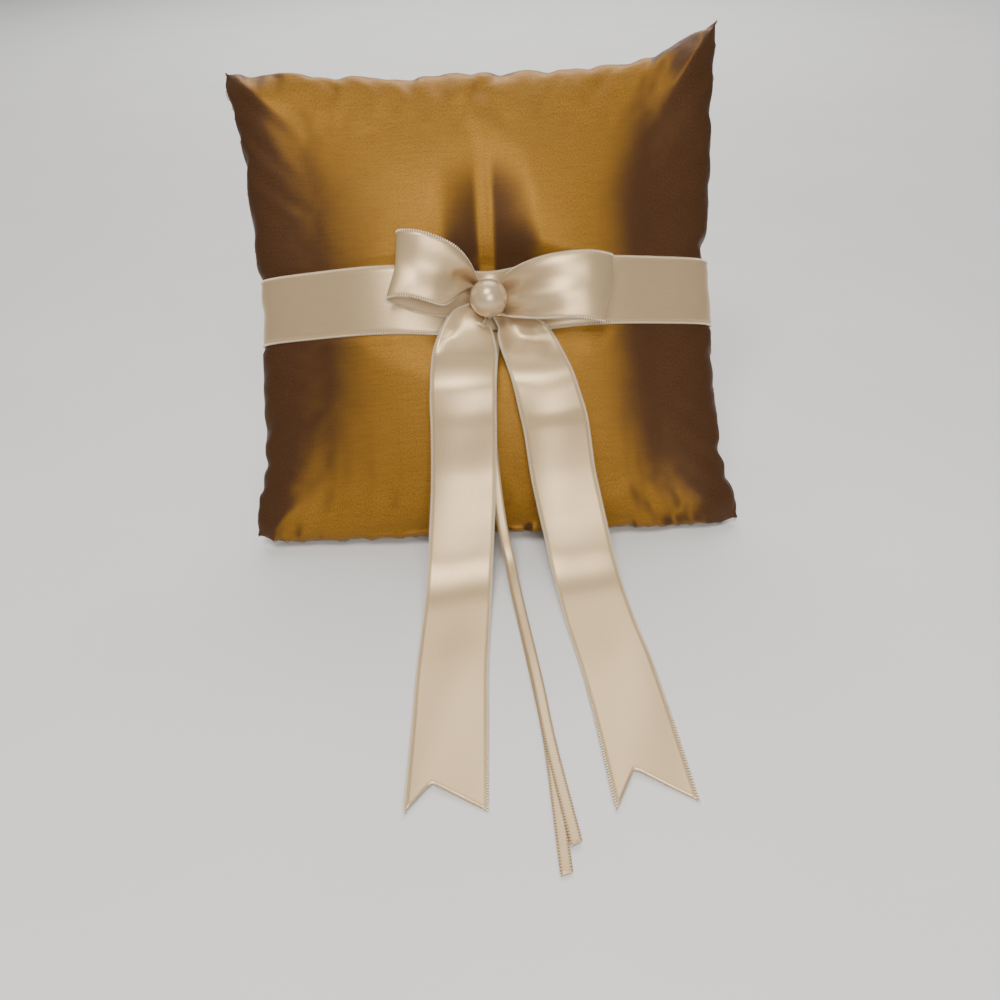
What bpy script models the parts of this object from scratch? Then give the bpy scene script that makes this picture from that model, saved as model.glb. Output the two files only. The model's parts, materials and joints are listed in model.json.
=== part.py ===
"""Ring bearer pillow: a stuffed taffeta cover with a satin band, a bow, a pearl and ring ties.

The pillow stands on its bottom edge and leans back. The origin is the middle of the flat
patch it stands on, +X runs to the right across the front, +Z is up, and the front faces -Y.
Pillow points are also given as (u, v, n): u across, v up the cover from its bottom seam,
and n out of the seam plane towards the front.
"""

import math

import bmesh
import bpy
from mathutils import Vector

# Driving dimensions, in metres unless a name says otherwise.
COVER_HALF_WIDTH = 0.091  # middle of the cover to the pulled-in side seams
COVER_HALF_HEIGHT = 0.091  # middle of the cover to the bottom and top seams
EAR_REACH = 0.009  # how far the corners stand out past the pulled-in seams
CROWN = 0.027  # height of the stuffed front over the seam plane
BACK_DEPTH = 0.022  # depth at which the back is pressed flat
FABRIC = 0.0005
SEAM_GAP = 0.001  # between the two folded edges, where the seam thread lies
ALLOWANCE = 0.007  # seam allowance turned inside the cover
TUFT_DEPTH = 0.013
TUFT_RADIUS = 0.022
CINCH_DEPTH = 0.003  # how far the band pulls the cover in
LEAN_DEG = 35.0
SEAM_LIFT = 0.00085  # bottom seam line above the floor
SEAT_BEHIND_SEAM = 0.0075  # middle of the standing patch behind the bottom seam

RIBBON_WIDTH = 0.025
RIBBON_THICKNESS = 0.0004
TIE_WIDTH = 0.0035
PEARL_RADIUS = 0.007
PEARL_BORE_RADIUS = 0.0006
THREAD_RADIUS = 0.0002
PEARL_THREAD_RADIUS = 0.0003
GATHER_HALF = (0.0065, 0.006, 0.002)  # half sizes across, up and out

BOW_LEFT_REACH = 0.039  # middle of the bow to the end of a loop
BOW_RIGHT_REACH = 0.045
BOW_LEFT_TILT_DEG = 161.0
BOW_RIGHT_TILT_DEG = 6.0
BOW_LOOP_HEIGHT = 0.009
LOOP_GATHERED_WIDTH = 0.0124  # width of a loop where it leaves the pinched middle
LOOP_FLARE = 0.016  # length over which a loop opens to its full width
TAIL_GATHERED_WIDTH = 0.013

GAP = 0.0003  # clearance between neighbours
STEPS = 22  # cover cells across, an even number
MARK_ROOM = 0.03  # no other station comes closer to a marked one than this
SEAM_OPENING = 0.4  # share of the bottom seam that is closed by hand after filling

# Worked out from the driving dimensions.
SIN_LEAN = math.sin(math.radians(LEAN_DEG))
COS_LEAN = math.cos(math.radians(LEAN_DEG))
FLANGE_LOW = SEAM_GAP / 2
FLANGE_HIGH = FLANGE_LOW + FABRIC
RIM = FLANGE_HIGH + 0.8 * FABRIC
INNER_INSET = 1.4 * FABRIC
CORE_EDGE = 1 - (ALLOWANCE + 4 * GAP) / COVER_HALF_WIDTH
BAND_EDGE = RIBBON_WIDTH / 2 / COVER_HALF_HEIGHT
TUFT_MARK = 0.3 * TUFT_RADIUS / COVER_HALF_WIDTH
SEAT_EDGE = -1 + 0.0062 / COVER_HALF_HEIGHT
BAND_TOP = GAP + RIBBON_THICKNESS
CENTRE_HEIGHT = CROWN - TUFT_DEPTH - CINCH_DEPTH
BINDING_HALF = tuple(half + THREAD_RADIUS + 1.3 * GAP for half in GATHER_HALF)
DIMPLE_RISE = 0.08 * TUFT_DEPTH  # how far the band climbs out of the dimple under the bow's middle
GATHER_HEIGHT = CENTRE_HEIGHT + BAND_TOP + DIMPLE_RISE + GAP + THREAD_RADIUS + BINDING_HALF[2]
PEARL_HEIGHT = GATHER_HEIGHT + BINDING_HALF[2] + THREAD_RADIUS + GAP + PEARL_RADIUS
LEG_OFFSET = PEARL_RADIUS + 4 * PEARL_THREAD_RADIUS
TAIL_START = LEG_OFFSET + PEARL_THREAD_RADIUS + 0.0020  # below the pearl's thread
TIE_CLEARANCE = 0.0015
TAIL_CLEARANCE = 0.0030

parts = bpy.data.collections.new("ring_bearer_pillow")
cutters = bpy.data.collections.new("cutters")


def start_scene():
    """Empty the scene and link the two collections."""
    for old in list(bpy.data.objects):
        bpy.data.objects.remove(old)
    bpy.context.scene.collection.children.link(parts)
    bpy.context.scene.collection.children.link(cutters)


def finish(name, colour, roughness, metallic=0.0):
    """A plain Principled material."""
    material = bpy.data.materials.new(name)
    material.use_nodes = True
    shader = material.node_tree.nodes["Principled BSDF"]
    shader.inputs["Base Color"].default_value = (*colour, 1.0)
    shader.inputs["Roughness"].default_value = roughness
    shader.inputs["Metallic"].default_value = metallic
    return material


def add_object(name, data, material, smooth=False):
    """Link mesh or curve data as one named part."""
    part = bpy.data.objects.new(name, data)
    part.data.materials.append(material)
    parts.objects.link(part)
    if smooth:
        part.data.shade_smooth()
    return part


def mesh_from(build):
    """Turn a finished bmesh into mesh data with its faces pointing out."""
    bmesh.ops.recalc_face_normals(build, faces=build.faces)
    mesh = bpy.data.meshes.new("shape")
    build.to_mesh(mesh)
    build.free()
    return mesh


# The cover's shape.


def to_world(u, v, n, layer=0.0):
    """Place a pillow point. A layer inside the skin keeps its depth at the pressed patches."""
    n = max(n, layer - BACK_DEPTH)
    y = v * SIN_LEAN - n * COS_LEAN - SEAT_BEHIND_SEAM
    z = v * COS_LEAN + n * SIN_LEAN + SEAM_LIFT
    return Vector((u, y, max(z, layer, 0.0)))


def to_pillow(point):
    """The (u, v, n) of a world point."""
    y = point.y + SEAT_BEHIND_SEAM
    z = point.z - SEAM_LIFT
    return point.x, y * SIN_LEAN + z * COS_LEAN, z * SIN_LEAN - y * COS_LEAN


def half_spans(a, b, inset=0.0):
    """Half width and half height of the cover where its sheet position is (a, b)."""
    width = COVER_HALF_WIDTH - inset + EAR_REACH * b * b
    height = COVER_HALF_HEIGHT - inset
    if b > 0:
        height += EAR_REACH * a * a
    return width, height


def sheet_place(a, b, inset=0.0):
    """The (u, v) of a sheet position, where a and b run from -1 to 1 between the seams."""
    width, height = half_spans(a, b, inset)
    return a * width, COVER_HALF_HEIGHT + b * height


def dents(u, v, swell):
    """How far the centre stitch and the band pull the cover in."""
    rise = v - COVER_HALF_HEIGHT
    tuft = TUFT_DEPTH * math.exp(-(u * u + rise * rise) / TUFT_RADIUS**2)
    beyond = max(0.0, abs(rise) - RIBBON_WIDTH / 2) / (RIBBON_WIDTH / 2)
    return tuft + CINCH_DEPTH * max(swell, 0.0) * math.exp(-beyond * beyond)


def skin_height(u, v, swell, rim, crown):
    """Height of a cover face over the seam plane."""
    return rim + (crown - rim) * swell - dents(u, v, swell) * min(1.0, 4 * max(swell, 0.0))


def outer_point(alpha, beta, side):
    """A point of the cover's outer face, from two angles that are a quarter turn at the seams."""
    u, v = sheet_place(math.sin(alpha), math.sin(beta))
    swell = math.cos(alpha) * math.cos(beta)
    return Vector((u, v, side * skin_height(u, v, swell, RIM, CROWN)))


def skin_point(a, b, side, offset):
    """World place of the cover's outer face, lifted off it by the offset."""
    alpha = math.asin(max(-1.0, min(1.0, a)))
    beta = math.asin(max(-1.0, min(1.0, b)))
    step = 0.002
    along = outer_point(alpha + step, beta, side) - outer_point(alpha - step, beta, side)
    up = outer_point(alpha, beta + step, side) - outer_point(alpha, beta - step, side)
    normal = along.cross(up).normalized() * side
    u, v, n = outer_point(alpha, beta, side) + normal * offset
    return to_world(u, v, n, -offset)


def cover_height(u, v):
    """Height of the cover's front face at a place on the pillow."""
    a = u / COVER_HALF_WIDTH
    b = v / COVER_HALF_HEIGHT - 1
    for _ in range(4):
        width, height = half_spans(a, b)
        a = max(-1.0, min(1.0, u / width))
        b = max(-1.0, min(1.0, (v - COVER_HALF_HEIGHT) / height))
    swell = math.sqrt((1 - a * a) * (1 - b * b))
    return skin_height(u, v, swell, RIM, CROWN)


def front_place(u, rise, clearance):
    """World place above the cover's front, where rise is measured up from the cover's middle."""
    v = COVER_HALF_HEIGHT + rise
    return to_world(u, v, cover_height(u, v) + clearance)


def clear_of_cover(point, clearance):
    """Push a point out until it stands clear of the cover's front."""
    u, v, n = to_pillow(point)
    if not 0 < v < 2 * COVER_HALF_HEIGHT:
        return point
    return to_world(u, v, max(n, cover_height(u, v) + clearance))


def stations(marks):
    """Sheet positions from -1 to 1, closer together near the seams, with the given marks in."""
    even = [-math.cos(math.pi * k / STEPS) for k in range(STEPS + 1)]
    free = [s for s in even if all(abs(s - mark) > MARK_ROOM for mark in marks)]
    return sorted(free + list(marks))


ACROSS = stations([-CORE_EDGE, -TUFT_MARK, TUFT_MARK, CORE_EDGE])
UPWARD = stations(
    [-CORE_EDGE, SEAT_EDGE, -BAND_EDGE, -BAND_EDGE / 2, BAND_EDGE / 2, BAND_EDGE, CORE_EDGE]
)


def border(across, upward):
    """Grid indices once around the edge, from the lower left corner."""
    last_i = len(across) - 1
    last_j = len(upward) - 1
    ring = [(i, 0) for i in range(last_i)]
    ring += [(last_i, j) for j in range(last_j)]
    ring += [(i, last_j) for i in range(last_i, 0, -1)]
    ring += [(0, j) for j in range(last_j, 0, -1)]
    return ring


def grid_vertices(build, across, upward, place):
    """Vertices of a grid, one for each pair of stations."""
    return [[build.verts.new(place(a, b)) for b in upward] for a in across]


def grid_faces(build, grid, side=-1):
    """Pairs of triangles over a grid, split the way that the band over them is split."""
    for left, right in zip(grid, grid[1:]):
        for j in range(len(left) - 1):
            corners = (left[j], right[j], right[j + 1], left[j + 1])
            if side > 0:
                corners = corners[1:] + corners[:1]
            build.faces.new((corners[0], corners[1], corners[2]))
            build.faces.new((corners[0], corners[2], corners[3]))


def join_rings(build, rings):
    """Walls between closed rings of vertices."""
    for low, high in zip(rings, rings[1:]):
        count = len(low)
        for k in range(count):
            after = (k + 1) % count
            build.faces.new((low[k], low[after], high[after], high[k]))


def allowance_inset(a, b):
    """Reach of the seam allowance at an edge position; it is clipped towards the corners."""
    clipped = INNER_INSET + GAP
    return clipped + (ALLOWANCE - clipped) * math.sqrt(max(0.0, 2 - a * a - b * b))


def inner_place(a, b, side, below=0.0):
    """World place of the cover's inner face, or of a layer below it."""
    u, v = sheet_place(a, b, INNER_INSET)
    swell = math.sqrt(max(0.0, (1 - a * a) * (1 - b * b)))
    n = skin_height(u, v, swell, FLANGE_HIGH, CROWN - FABRIC) - below
    return to_world(u, v, side * n, FABRIC + below)


def outer_place(a, b, side):
    """World place of the cover's outer face."""
    u, v = sheet_place(a, b)
    swell = math.sqrt(max(0.0, (1 - a * a) * (1 - b * b)))
    return to_world(u, v, side * skin_height(u, v, swell, RIM, CROWN))


def flange_place(a, b, side, inset, height, layer):
    """World place on a folded edge or seam allowance."""
    u, v = sheet_place(a, b, inset)
    return to_world(u, v, side * height, layer)


def cover_panel(name, side, material):
    """One half of the cover, with its seam allowance turned in; side is 1 for the front."""
    build = bmesh.new()
    outer = grid_vertices(build, ACROSS, UPWARD, lambda a, b: outer_place(a, b, side))
    inner = grid_vertices(build, ACROSS, UPWARD, lambda a, b: inner_place(a, b, side))
    grid_faces(build, outer, side)
    grid_faces(build, inner, side)
    ring = border(ACROSS, UPWARD)
    edge = [(ACROSS[i], UPWARD[j]) for i, j in ring]
    fold = [build.verts.new(flange_place(a, b, side, 0.0, FLANGE_LOW, 0.0)) for a, b in edge]
    low = [
        build.verts.new(flange_place(a, b, side, allowance_inset(a, b), FLANGE_LOW, 0.0))
        for a, b in edge
    ]
    high = [
        build.verts.new(flange_place(a, b, side, allowance_inset(a, b), FLANGE_HIGH, FABRIC))
        for a, b in edge
    ]
    outer_ring = [outer[i][j] for i, j in ring]
    inner_ring = [inner[i][j] for i, j in ring]
    join_rings(build, [outer_ring, fold, low, high, inner_ring])
    return add_object(name, mesh_from(build), material, smooth=True)


def fibrefill_core(material):
    """The stuffing, filling the cover up to the seam allowances."""
    across = [a for a in ACROSS if abs(a) <= CORE_EDGE + 1e-9]
    upward = [b for b in UPWARD if abs(b) <= CORE_EDGE + 1e-9]
    build = bmesh.new()
    front = grid_vertices(build, across, upward, lambda a, b: inner_place(a, b, 1, 1.5 * GAP))
    back = grid_vertices(build, across, upward, lambda a, b: inner_place(a, b, -1, 1.5 * GAP))
    grid_faces(build, front, 1)
    grid_faces(build, back, -1)
    ring = border(across, upward)
    join_rings(build, [[front[i][j] for i, j in ring], [back[i][j] for i, j in ring]])
    return add_object("fibrefill_core", mesh_from(build), material, smooth=True)


# Threads and ribbons.


def thread_curve(name, points, radius, material, closed=False):
    """A round thread along a list of world points."""
    curve = bpy.data.curves.new(name, "CURVE")
    curve.dimensions = "3D"
    curve.bevel_depth = radius
    curve.bevel_resolution = 2
    curve.use_fill_caps = True
    spline = curve.splines.new("POLY")
    spline.points.add(len(points) - 1)
    for target, point in zip(spline.points, points):
        target.co = (*point, 1.0)
    spline.use_cyclic_u = closed
    return add_object(name, curve, material)


def seam_place(a, b, inset):
    """World place of the thread that lies between the two folded edges."""
    u, v = sheet_place(a, b, inset)
    return to_world(u, v, 0.0, THREAD_RADIUS + GAP)


def seam_thread(material):
    """The machine seam around the cover, open along the filling slit in the bottom edge."""
    inset = 6 * THREAD_RADIUS
    edge = [(ACROSS[i], UPWARD[j]) for i, j in border(ACROSS, UPWARD)]
    on_slit = [b == UPWARD[0] and abs(a) < SEAM_OPENING for a, b in edge]
    after = max(k for k, inside in enumerate(on_slit) if inside) + 1
    around = edge[after:] + edge[:after]
    run = [(a, b) for a, b in around if not (b == UPWARD[0] and abs(a) < SEAM_OPENING)]
    points = [seam_place(a, b, inset) for a, b in run]
    return thread_curve("seam_thread", points, THREAD_RADIUS, material)


def closing_thread(material):
    """Hand stitches that close the filling slit."""
    slit = [a for a in ACROSS if abs(a) < SEAM_OPENING]
    stitches = 20
    points = []
    for k in range(stitches + 1):
        a = slit[0] + (slit[-1] - slit[0]) * k / stitches
        inset = THREAD_RADIUS * (6 if k % 2 else 11)
        points.append(seam_place(a, -1.0, inset))
    return thread_curve("closing_thread", points, THREAD_RADIUS, material)


def ribbon(name, rows, material):
    """A thin ribbon solid from rows of points across its width."""
    build = bmesh.new()
    grid = [[build.verts.new(point) for point in row] for row in rows]
    grid_faces(build, grid)
    mesh = bpy.data.meshes.new("shape")
    build.to_mesh(mesh)
    build.free()
    part = add_object(name, mesh, material, smooth=True)
    solid = part.modifiers.new("thickness", "SOLIDIFY")
    solid.thickness = RIBBON_THICKNESS
    solid.offset = 0.0
    return part


def waist_band(material):
    """The satin band around the pillow's middle, lapped over its own end on the back."""
    middle = len(ACROSS) // 2
    start, end = middle + 3, middle + 4
    base = GAP + RIBBON_THICKNESS / 2
    lapped = base + GAP + RIBBON_THICKNESS
    ring = [(a, -1, base) for a in ACROSS[start:]]
    ring += [(a, 1, base) for a in reversed(ACROSS)]
    ring += [(a, -1, base) for a in ACROSS[:start]]
    ring += [(a, -1, lapped) for a in ACROSS[start : end + 1]]
    upward = [b for b in UPWARD if abs(b) <= BAND_EDGE + 1e-9]
    rows = [[skin_point(a, b, side, offset) for b in upward] for a, side, offset in ring]
    return ribbon("waist_band", rows, material)


def band_stitches(material):
    """The thread that whips the band's lapped end down on the back."""
    end = ACROSS[len(ACROSS) // 2 + 4]
    reach = 0.0012 / COVER_HALF_WIDTH
    offset = 2 * BAND_TOP + GAP + THREAD_RADIUS
    stitches = 12
    points = []
    for k in range(stitches + 1):
        b = BAND_EDGE * 0.88 * (2 * k / stitches - 1)
        a = end + (reach if k % 2 else -reach)
        points.append(skin_point(a, b, -1, offset))
    return thread_curve("band_stitches", points, THREAD_RADIUS, material)


def smooth_route(points, count):
    """Evenly spaced points on one smooth curve through the given ones."""
    ends = [2 * points[0] - points[1]] + points + [2 * points[-1] - points[-2]]
    fine = []
    for p0, p1, p2, p3 in zip(ends, ends[1:], ends[2:], ends[3:]):
        for k in range(12):
            t = k / 12
            fine.append(
                0.5
                * (
                    2 * p1
                    + (p2 - p0) * t
                    + (2 * p0 - 5 * p1 + 4 * p2 - p3) * t**2
                    + (3 * p1 - p0 - 3 * p2 + p3) * t**3
                )
            )
    fine.append(points[-1].copy())
    lengths = [0.0]
    for before, after in zip(fine, fine[1:]):
        lengths.append(lengths[-1] + (after - before).length)
    route = []
    place = 0
    for k in range(count + 1):
        goal = lengths[-1] * k / count
        while place < len(fine) - 2 and lengths[place + 1] < goal:
            place += 1
        share = (goal - lengths[place]) / (lengths[place + 1] - lengths[place])
        route.append(fine[place].lerp(fine[place + 1], min(1.0, share)))
    return route


def direction(route, k):
    """Unit direction of a route at one of its points."""
    before = route[max(0, k - 1)]
    after = route[min(len(route) - 1, k + 1)]
    return (after - before).normalized()


def cross_row(point, along, half_width, shares, clearance):
    """Points across a ribbon, kept clear of the cover."""
    sideways = Vector((1, 0, 0))
    sideways = (sideways - along * along.x).normalized()
    row = [point + sideways * (half_width * share) for share in shares]
    return [clear_of_cover(place, clearance) for place in row]


def hung_ribbon(name, route, width, start_width, shares, clearance, notch, material):
    """A ribbon hanging along a route; notch is how far its end is cut back at each share."""
    length = sum((after - before).length for before, after in zip(route, route[1:]))
    spacing = length / (len(route) - 1)
    cut = max(notch)
    kept = len(route) - 1 - math.ceil((cut + spacing / 2) / spacing)
    rows = []
    for k in range(kept + 1):
        widened = min(1.0, k * spacing / width)
        half_width = (start_width + (width - start_width) * math.sin(widened * math.pi / 2)) / 2
        rows.append(cross_row(route[k], direction(route, k), half_width, shares, clearance))
    along = direction(route, len(route) - 1)
    last = cross_row(route[-1], along, width / 2, shares, clearance)
    rows.append([place - along * back for place, back in zip(last, notch)])
    return ribbon(name, rows, material)


def on_hinge(part, name, place):
    """Give a moving part a parent empty on its joint's axis."""
    hinge = bpy.data.objects.new(name, None)
    hinge.location = place
    parts.objects.link(hinge)
    for vertex in part.data.vertices:
        vertex.co -= place
    part.parent = hinge


# The knot that the tails and ties hang from.
HINGE = to_world(0.0, COVER_HALF_HEIGHT - TAIL_START, CENTRE_HEIGHT + 0.0045)


def bow_tail_left(material):
    """The left tail, over the lower front and forward on the floor, cut to a swallow tail."""
    points = [
        front_place(-0.0065, -TAIL_START, TAIL_CLEARANCE),
        front_place(-0.0090, -0.017, TAIL_CLEARANCE),
        front_place(-0.0105, -0.025, TAIL_CLEARANCE),
        front_place(-0.0115, -0.033, TAIL_CLEARANCE),
        front_place(-0.0120, -0.041, TAIL_CLEARANCE),
        Vector((-0.0125, -0.0085, 0.0445)),
        Vector((-0.0135, -0.0175, 0.0300)),
        Vector((-0.0145, -0.0260, 0.0180)),
        Vector((-0.0155, -0.0350, 0.0090)),
        Vector((-0.0165, -0.0460, 0.0035)),
        Vector((-0.0175, -0.0600, 0.0012)),
        Vector((-0.0185, -0.0800, 0.0006)),
        Vector((-0.0195, -0.1030, 0.0006)),
        Vector((-0.0205, -0.1300, 0.0006)),
    ]
    shares = (-1.0, -1 / 3, 1 / 3, 1.0)
    notch = (0.0, 0.009, 0.0045, 0.0)
    route = smooth_route(points, 34)
    tail = hung_ribbon(
        "bow_tail_left",
        route,
        RIBBON_WIDTH,
        TAIL_GATHERED_WIDTH,
        shares,
        TAIL_CLEARANCE,
        notch,
        material,
    )
    on_hinge(tail, "hinge_tail_left", HINGE)


def bow_tail_right(material):
    """The right tail, drifting out to the right as it comes down."""
    points = [
        front_place(0.0125, -TAIL_START - 0.0035, TIE_CLEARANCE),
        front_place(0.0150, -0.0190, TIE_CLEARANCE),
        front_place(0.0175, -0.0260, TIE_CLEARANCE),
        front_place(0.0195, -0.0340, TIE_CLEARANCE),
        front_place(0.0215, -0.0420, TIE_CLEARANCE),
        Vector((0.0240, -0.0080, 0.0430)),
        Vector((0.0265, -0.0165, 0.0290)),
        Vector((0.0290, -0.0250, 0.0170)),
        Vector((0.0310, -0.0340, 0.0085)),
        Vector((0.0330, -0.0450, 0.0033)),
        Vector((0.0350, -0.0600, 0.0010)),
        Vector((0.0380, -0.0800, 0.0006)),
        Vector((0.0405, -0.1030, 0.0006)),
        Vector((0.0430, -0.1310, 0.0006)),
    ]
    shares = (-1.0, -1 / 3, 1 / 3, 1.0)
    notch = (0.0, 0.011, 0.0055, 0.0)
    route = smooth_route(points, 34)
    tail = hung_ribbon(
        "bow_tail_right",
        route,
        RIBBON_WIDTH,
        TAIL_GATHERED_WIDTH,
        shares,
        TIE_CLEARANCE,
        notch,
        material,
    )
    on_hinge(tail, "hinge_tail_right", HINGE)


def ring_tie(name, hinge_name, ends, clearance, material):
    """A narrow ribbon for tying on a ring, under the left tail and out on the floor."""
    sideways, behind, lift, last_x, last_y = ends
    points = [
        front_place(0.0020 + sideways, -TAIL_START, clearance),
        front_place(0.0010 + sideways, -0.018, clearance),
        front_place(0.0000 + sideways, -0.026, clearance),
        front_place(-0.0010 + sideways, -0.034, clearance),
        front_place(-0.0015 + sideways, -0.042, clearance),
        Vector((-0.0015 + sideways, -0.0075 + behind, 0.0415)),
        Vector((-0.0005 + sideways, -0.0160 + behind, 0.0270)),
        Vector((0.0010 + sideways, -0.0240 + behind, 0.0150)),
        Vector((0.0030 + sideways, -0.0330 + behind, 0.0065 + lift)),
        Vector((0.0050 + sideways, -0.0450, 0.0020 + lift)),
        Vector((0.0070 + sideways, -0.0600, 0.0006 + lift)),
        Vector((0.0100 + sideways, -0.0850, 0.0006 + lift)),
        Vector((0.0125 + sideways, -0.1100, 0.0006 + lift)),
        Vector((last_x, last_y, 0.0006 + lift)),
    ]
    shares = (-1.0, 1.0)
    route = smooth_route(points, 40)
    tie = hung_ribbon(name, route, TIE_WIDTH, TIE_WIDTH, shares, clearance, (0.0, 0.001), material)
    on_hinge(tie, hinge_name, HINGE)


def bow_loop(name, reach, tilt_deg, material):
    """One loop of the bow: out along the cover, around its end and back over itself."""
    outward = Vector((math.cos(math.radians(tilt_deg)), math.sin(math.radians(tilt_deg))))
    sideways = Vector((-outward.y, outward.x))
    start = GATHER_HALF[0] + 3 * GAP + THREAD_RADIUS + 0.0008
    height = BOW_LOOP_HEIGHT
    profile = [
        (start, 0.0),
        (start + 0.2 * (reach - start), 0.0),
        (start + 0.5 * (reach - start), 0.0),
        (reach - 0.0080, 0.0),
        (reach - 0.0030, 0.10 * height),
        (reach, 0.45 * height),
        (reach - 0.0030, 0.85 * height),
        (reach - 0.0090, 1.00 * height),
        (start + 0.5 * (reach - start), 0.95 * height),
        (start + 0.2 * (reach - start), 0.60 * height),
        (start, 0.30 * height),
    ]
    route = smooth_route([Vector((out, 0.0, rise)) for out, rise in profile], 30)
    shares = (-1.0, -0.5, 0.0, 0.5, 1.0)
    rows = []
    for out, _, rise in route:
        widened = math.sin(min(1.0, (out - start) / LOOP_FLARE) * math.pi / 2)
        half_width = (LOOP_GATHERED_WIDTH + (RIBBON_WIDTH - LOOP_GATHERED_WIDTH) * widened) / 2
        places = [outward * out + sideways * (half_width * share) for share in shares]
        rows.append([front_place(place.x, place.y, TIE_CLEARANCE + rise) for place in places])
    return ribbon(name, rows, material)


# Pieces placed in the leaning frame, whose -Y is the pillow's front and +Z runs up it.


def leaning_frame():
    """An empty with the pillow's lean, for the parts sewn on its front."""
    frame = bpy.data.objects.new("leaning_frame", None)
    frame.location = (0.0, -SEAT_BEHIND_SEAM, SEAM_LIFT)
    frame.rotation_euler = (-math.radians(LEAN_DEG), 0.0, 0.0)
    parts.objects.link(frame)
    return frame


def bow_gather(frame, material):
    """The pinched middle of the bow."""
    build = bmesh.new()
    bmesh.ops.create_uvsphere(build, u_segments=18, v_segments=10, radius=1.0)
    across, up, out = GATHER_HALF
    bmesh.ops.scale(build, vec=(across, out, up), verts=build.verts)
    gather = add_object("bow_gather", mesh_from(build), material, smooth=True)
    gather.parent = frame
    gather.location = (0.0, -GATHER_HEIGHT, COVER_HALF_HEIGHT)
    return gather


def binding_thread(frame, material):
    """Two turns of thread around the pinched middle."""
    turns = 2
    steps = 22
    pitch = 2 * THREAD_RADIUS + GAP
    points = []
    for k in range(turns * steps + 1):
        angle = 2 * math.pi * k / steps
        across = pitch * (k / steps - turns / 2)
        up = BINDING_HALF[1] * math.cos(angle)
        out = BINDING_HALF[2] * math.sin(angle)
        points.append(Vector((across, -GATHER_HEIGHT - out, COVER_HALF_HEIGHT + up)))
    thread = thread_curve("binding_thread", points, THREAD_RADIUS, material)
    thread.parent = frame
    return thread


def pearl_bead(frame, material):
    """The pearl, drilled through along the pillow's height."""
    first = math.asin(PEARL_BORE_RADIUS / PEARL_RADIUS)
    steps = 12
    profile = []
    for k in range(steps + 1):
        angle = first + (math.pi - 2 * first) * k / steps
        profile.append((PEARL_RADIUS * math.sin(angle), PEARL_RADIUS * math.cos(angle)))
    mesh = bpy.data.meshes.new("shape")
    edges = [(k, (k + 1) % len(profile)) for k in range(len(profile))]
    mesh.from_pydata([(r, 0.0, z) for r, z in profile], edges, [])
    pearl = add_object("pearl_bead", mesh, material)
    turn = pearl.modifiers.new("turn", "SCREW")
    turn.steps = 24
    turn.render_steps = 24
    turn.use_merge_vertices = True
    turn.merge_threshold = 0.00001
    turn.use_smooth_shade = True
    pearl.parent = frame
    pearl.location = (0.0, -PEARL_HEIGHT, COVER_HALF_HEIGHT)
    return pearl


def stitch_loop():
    """Corner-rounded loop of the pearl's thread, as (rise, n) pairs."""
    back = -(cover_height(0.0, COVER_HALF_HEIGHT + LEG_OFFSET) + BAND_TOP)
    back -= GAP + 2 * PEARL_THREAD_RADIUS
    radius = 2.5 * PEARL_THREAD_RADIUS
    corners = [
        (LEG_OFFSET, back, 270),
        (LEG_OFFSET, PEARL_HEIGHT, 0),
        (-LEG_OFFSET, PEARL_HEIGHT, 90),
        (-LEG_OFFSET, back, 180),
    ]
    loop = []
    for rise, n, first in corners:
        centre_rise = rise - math.copysign(radius, rise)
        centre_n = n + radius if n == back else n - radius
        for k in range(4):
            angle = math.radians(first + 30 * k)
            loop.append(
                (centre_rise + radius * math.cos(angle), centre_n + radius * math.sin(angle))
            )
    return loop, back


def pearl_thread(frame, material):
    """Thread through the pearl and twice through the pillow, knotted on the back."""
    loop, back = stitch_loop()
    points = [Vector((0.0, -n, COVER_HALF_HEIGHT + rise)) for rise, n in loop]
    tube = thread_curve("thread_run", points, PEARL_THREAD_RADIUS, material, closed=True)
    bpy.context.view_layer.update()
    evaluated = tube.evaluated_get(bpy.context.evaluated_depsgraph_get())
    mesh = bpy.data.meshes.new_from_object(evaluated)
    bpy.data.objects.remove(tube)
    build = bmesh.new()
    build.from_mesh(mesh)
    bmesh.ops.remove_doubles(build, verts=build.verts, dist=0.000001)
    thread = bpy.data.objects.new("pearl_thread", mesh_from(build))
    thread.data.materials.clear()
    thread.data.materials.append(material)
    parts.objects.link(thread)
    knot_build = bmesh.new()
    bmesh.ops.create_icosphere(knot_build, subdivisions=2, radius=3 * PEARL_THREAD_RADIUS)
    knot = bpy.data.objects.new("knot_shape", mesh_from(knot_build))
    cutters.objects.link(knot)
    hide_guide(knot)
    for item in (thread, knot):
        item.parent = frame
    knot.location = (0.0, -back, COVER_HALF_HEIGHT)
    union = thread.modifiers.new("knot", "BOOLEAN")
    union.operation = "UNION"
    union.object = knot
    return thread


def hide_guide(guide):
    """Mark a cutter or guide, which isn't part of the model."""
    guide.hide_render = True
    guide.display_type = "WIRE"


def needle_holes(frame, pierced):
    """Holes for the two runs of the pearl's thread through the pillow."""
    depth = 2 * (CROWN + BACK_DEPTH)
    for label, rise in (("upper", LEG_OFFSET), ("lower", -LEG_OFFSET)):
        build = bmesh.new()
        bmesh.ops.create_cone(
            build,
            cap_ends=True,
            segments=10,
            radius1=PEARL_THREAD_RADIUS + 1.5 * GAP,
            radius2=PEARL_THREAD_RADIUS + 1.5 * GAP,
            depth=depth,
        )
        cutter = bpy.data.objects.new(f"needle_hole_{label}", mesh_from(build))
        cutters.objects.link(cutter)
        hide_guide(cutter)
        cutter.parent = frame
        cutter.location = (0.0, 0.0, COVER_HALF_HEIGHT + rise)
        cutter.rotation_euler = (math.pi / 2, 0.0, 0.0)
        for part in pierced:
            cut = part.modifiers.new(f"needle_hole_{label}", "BOOLEAN")
            cut.object = cutter


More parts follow.
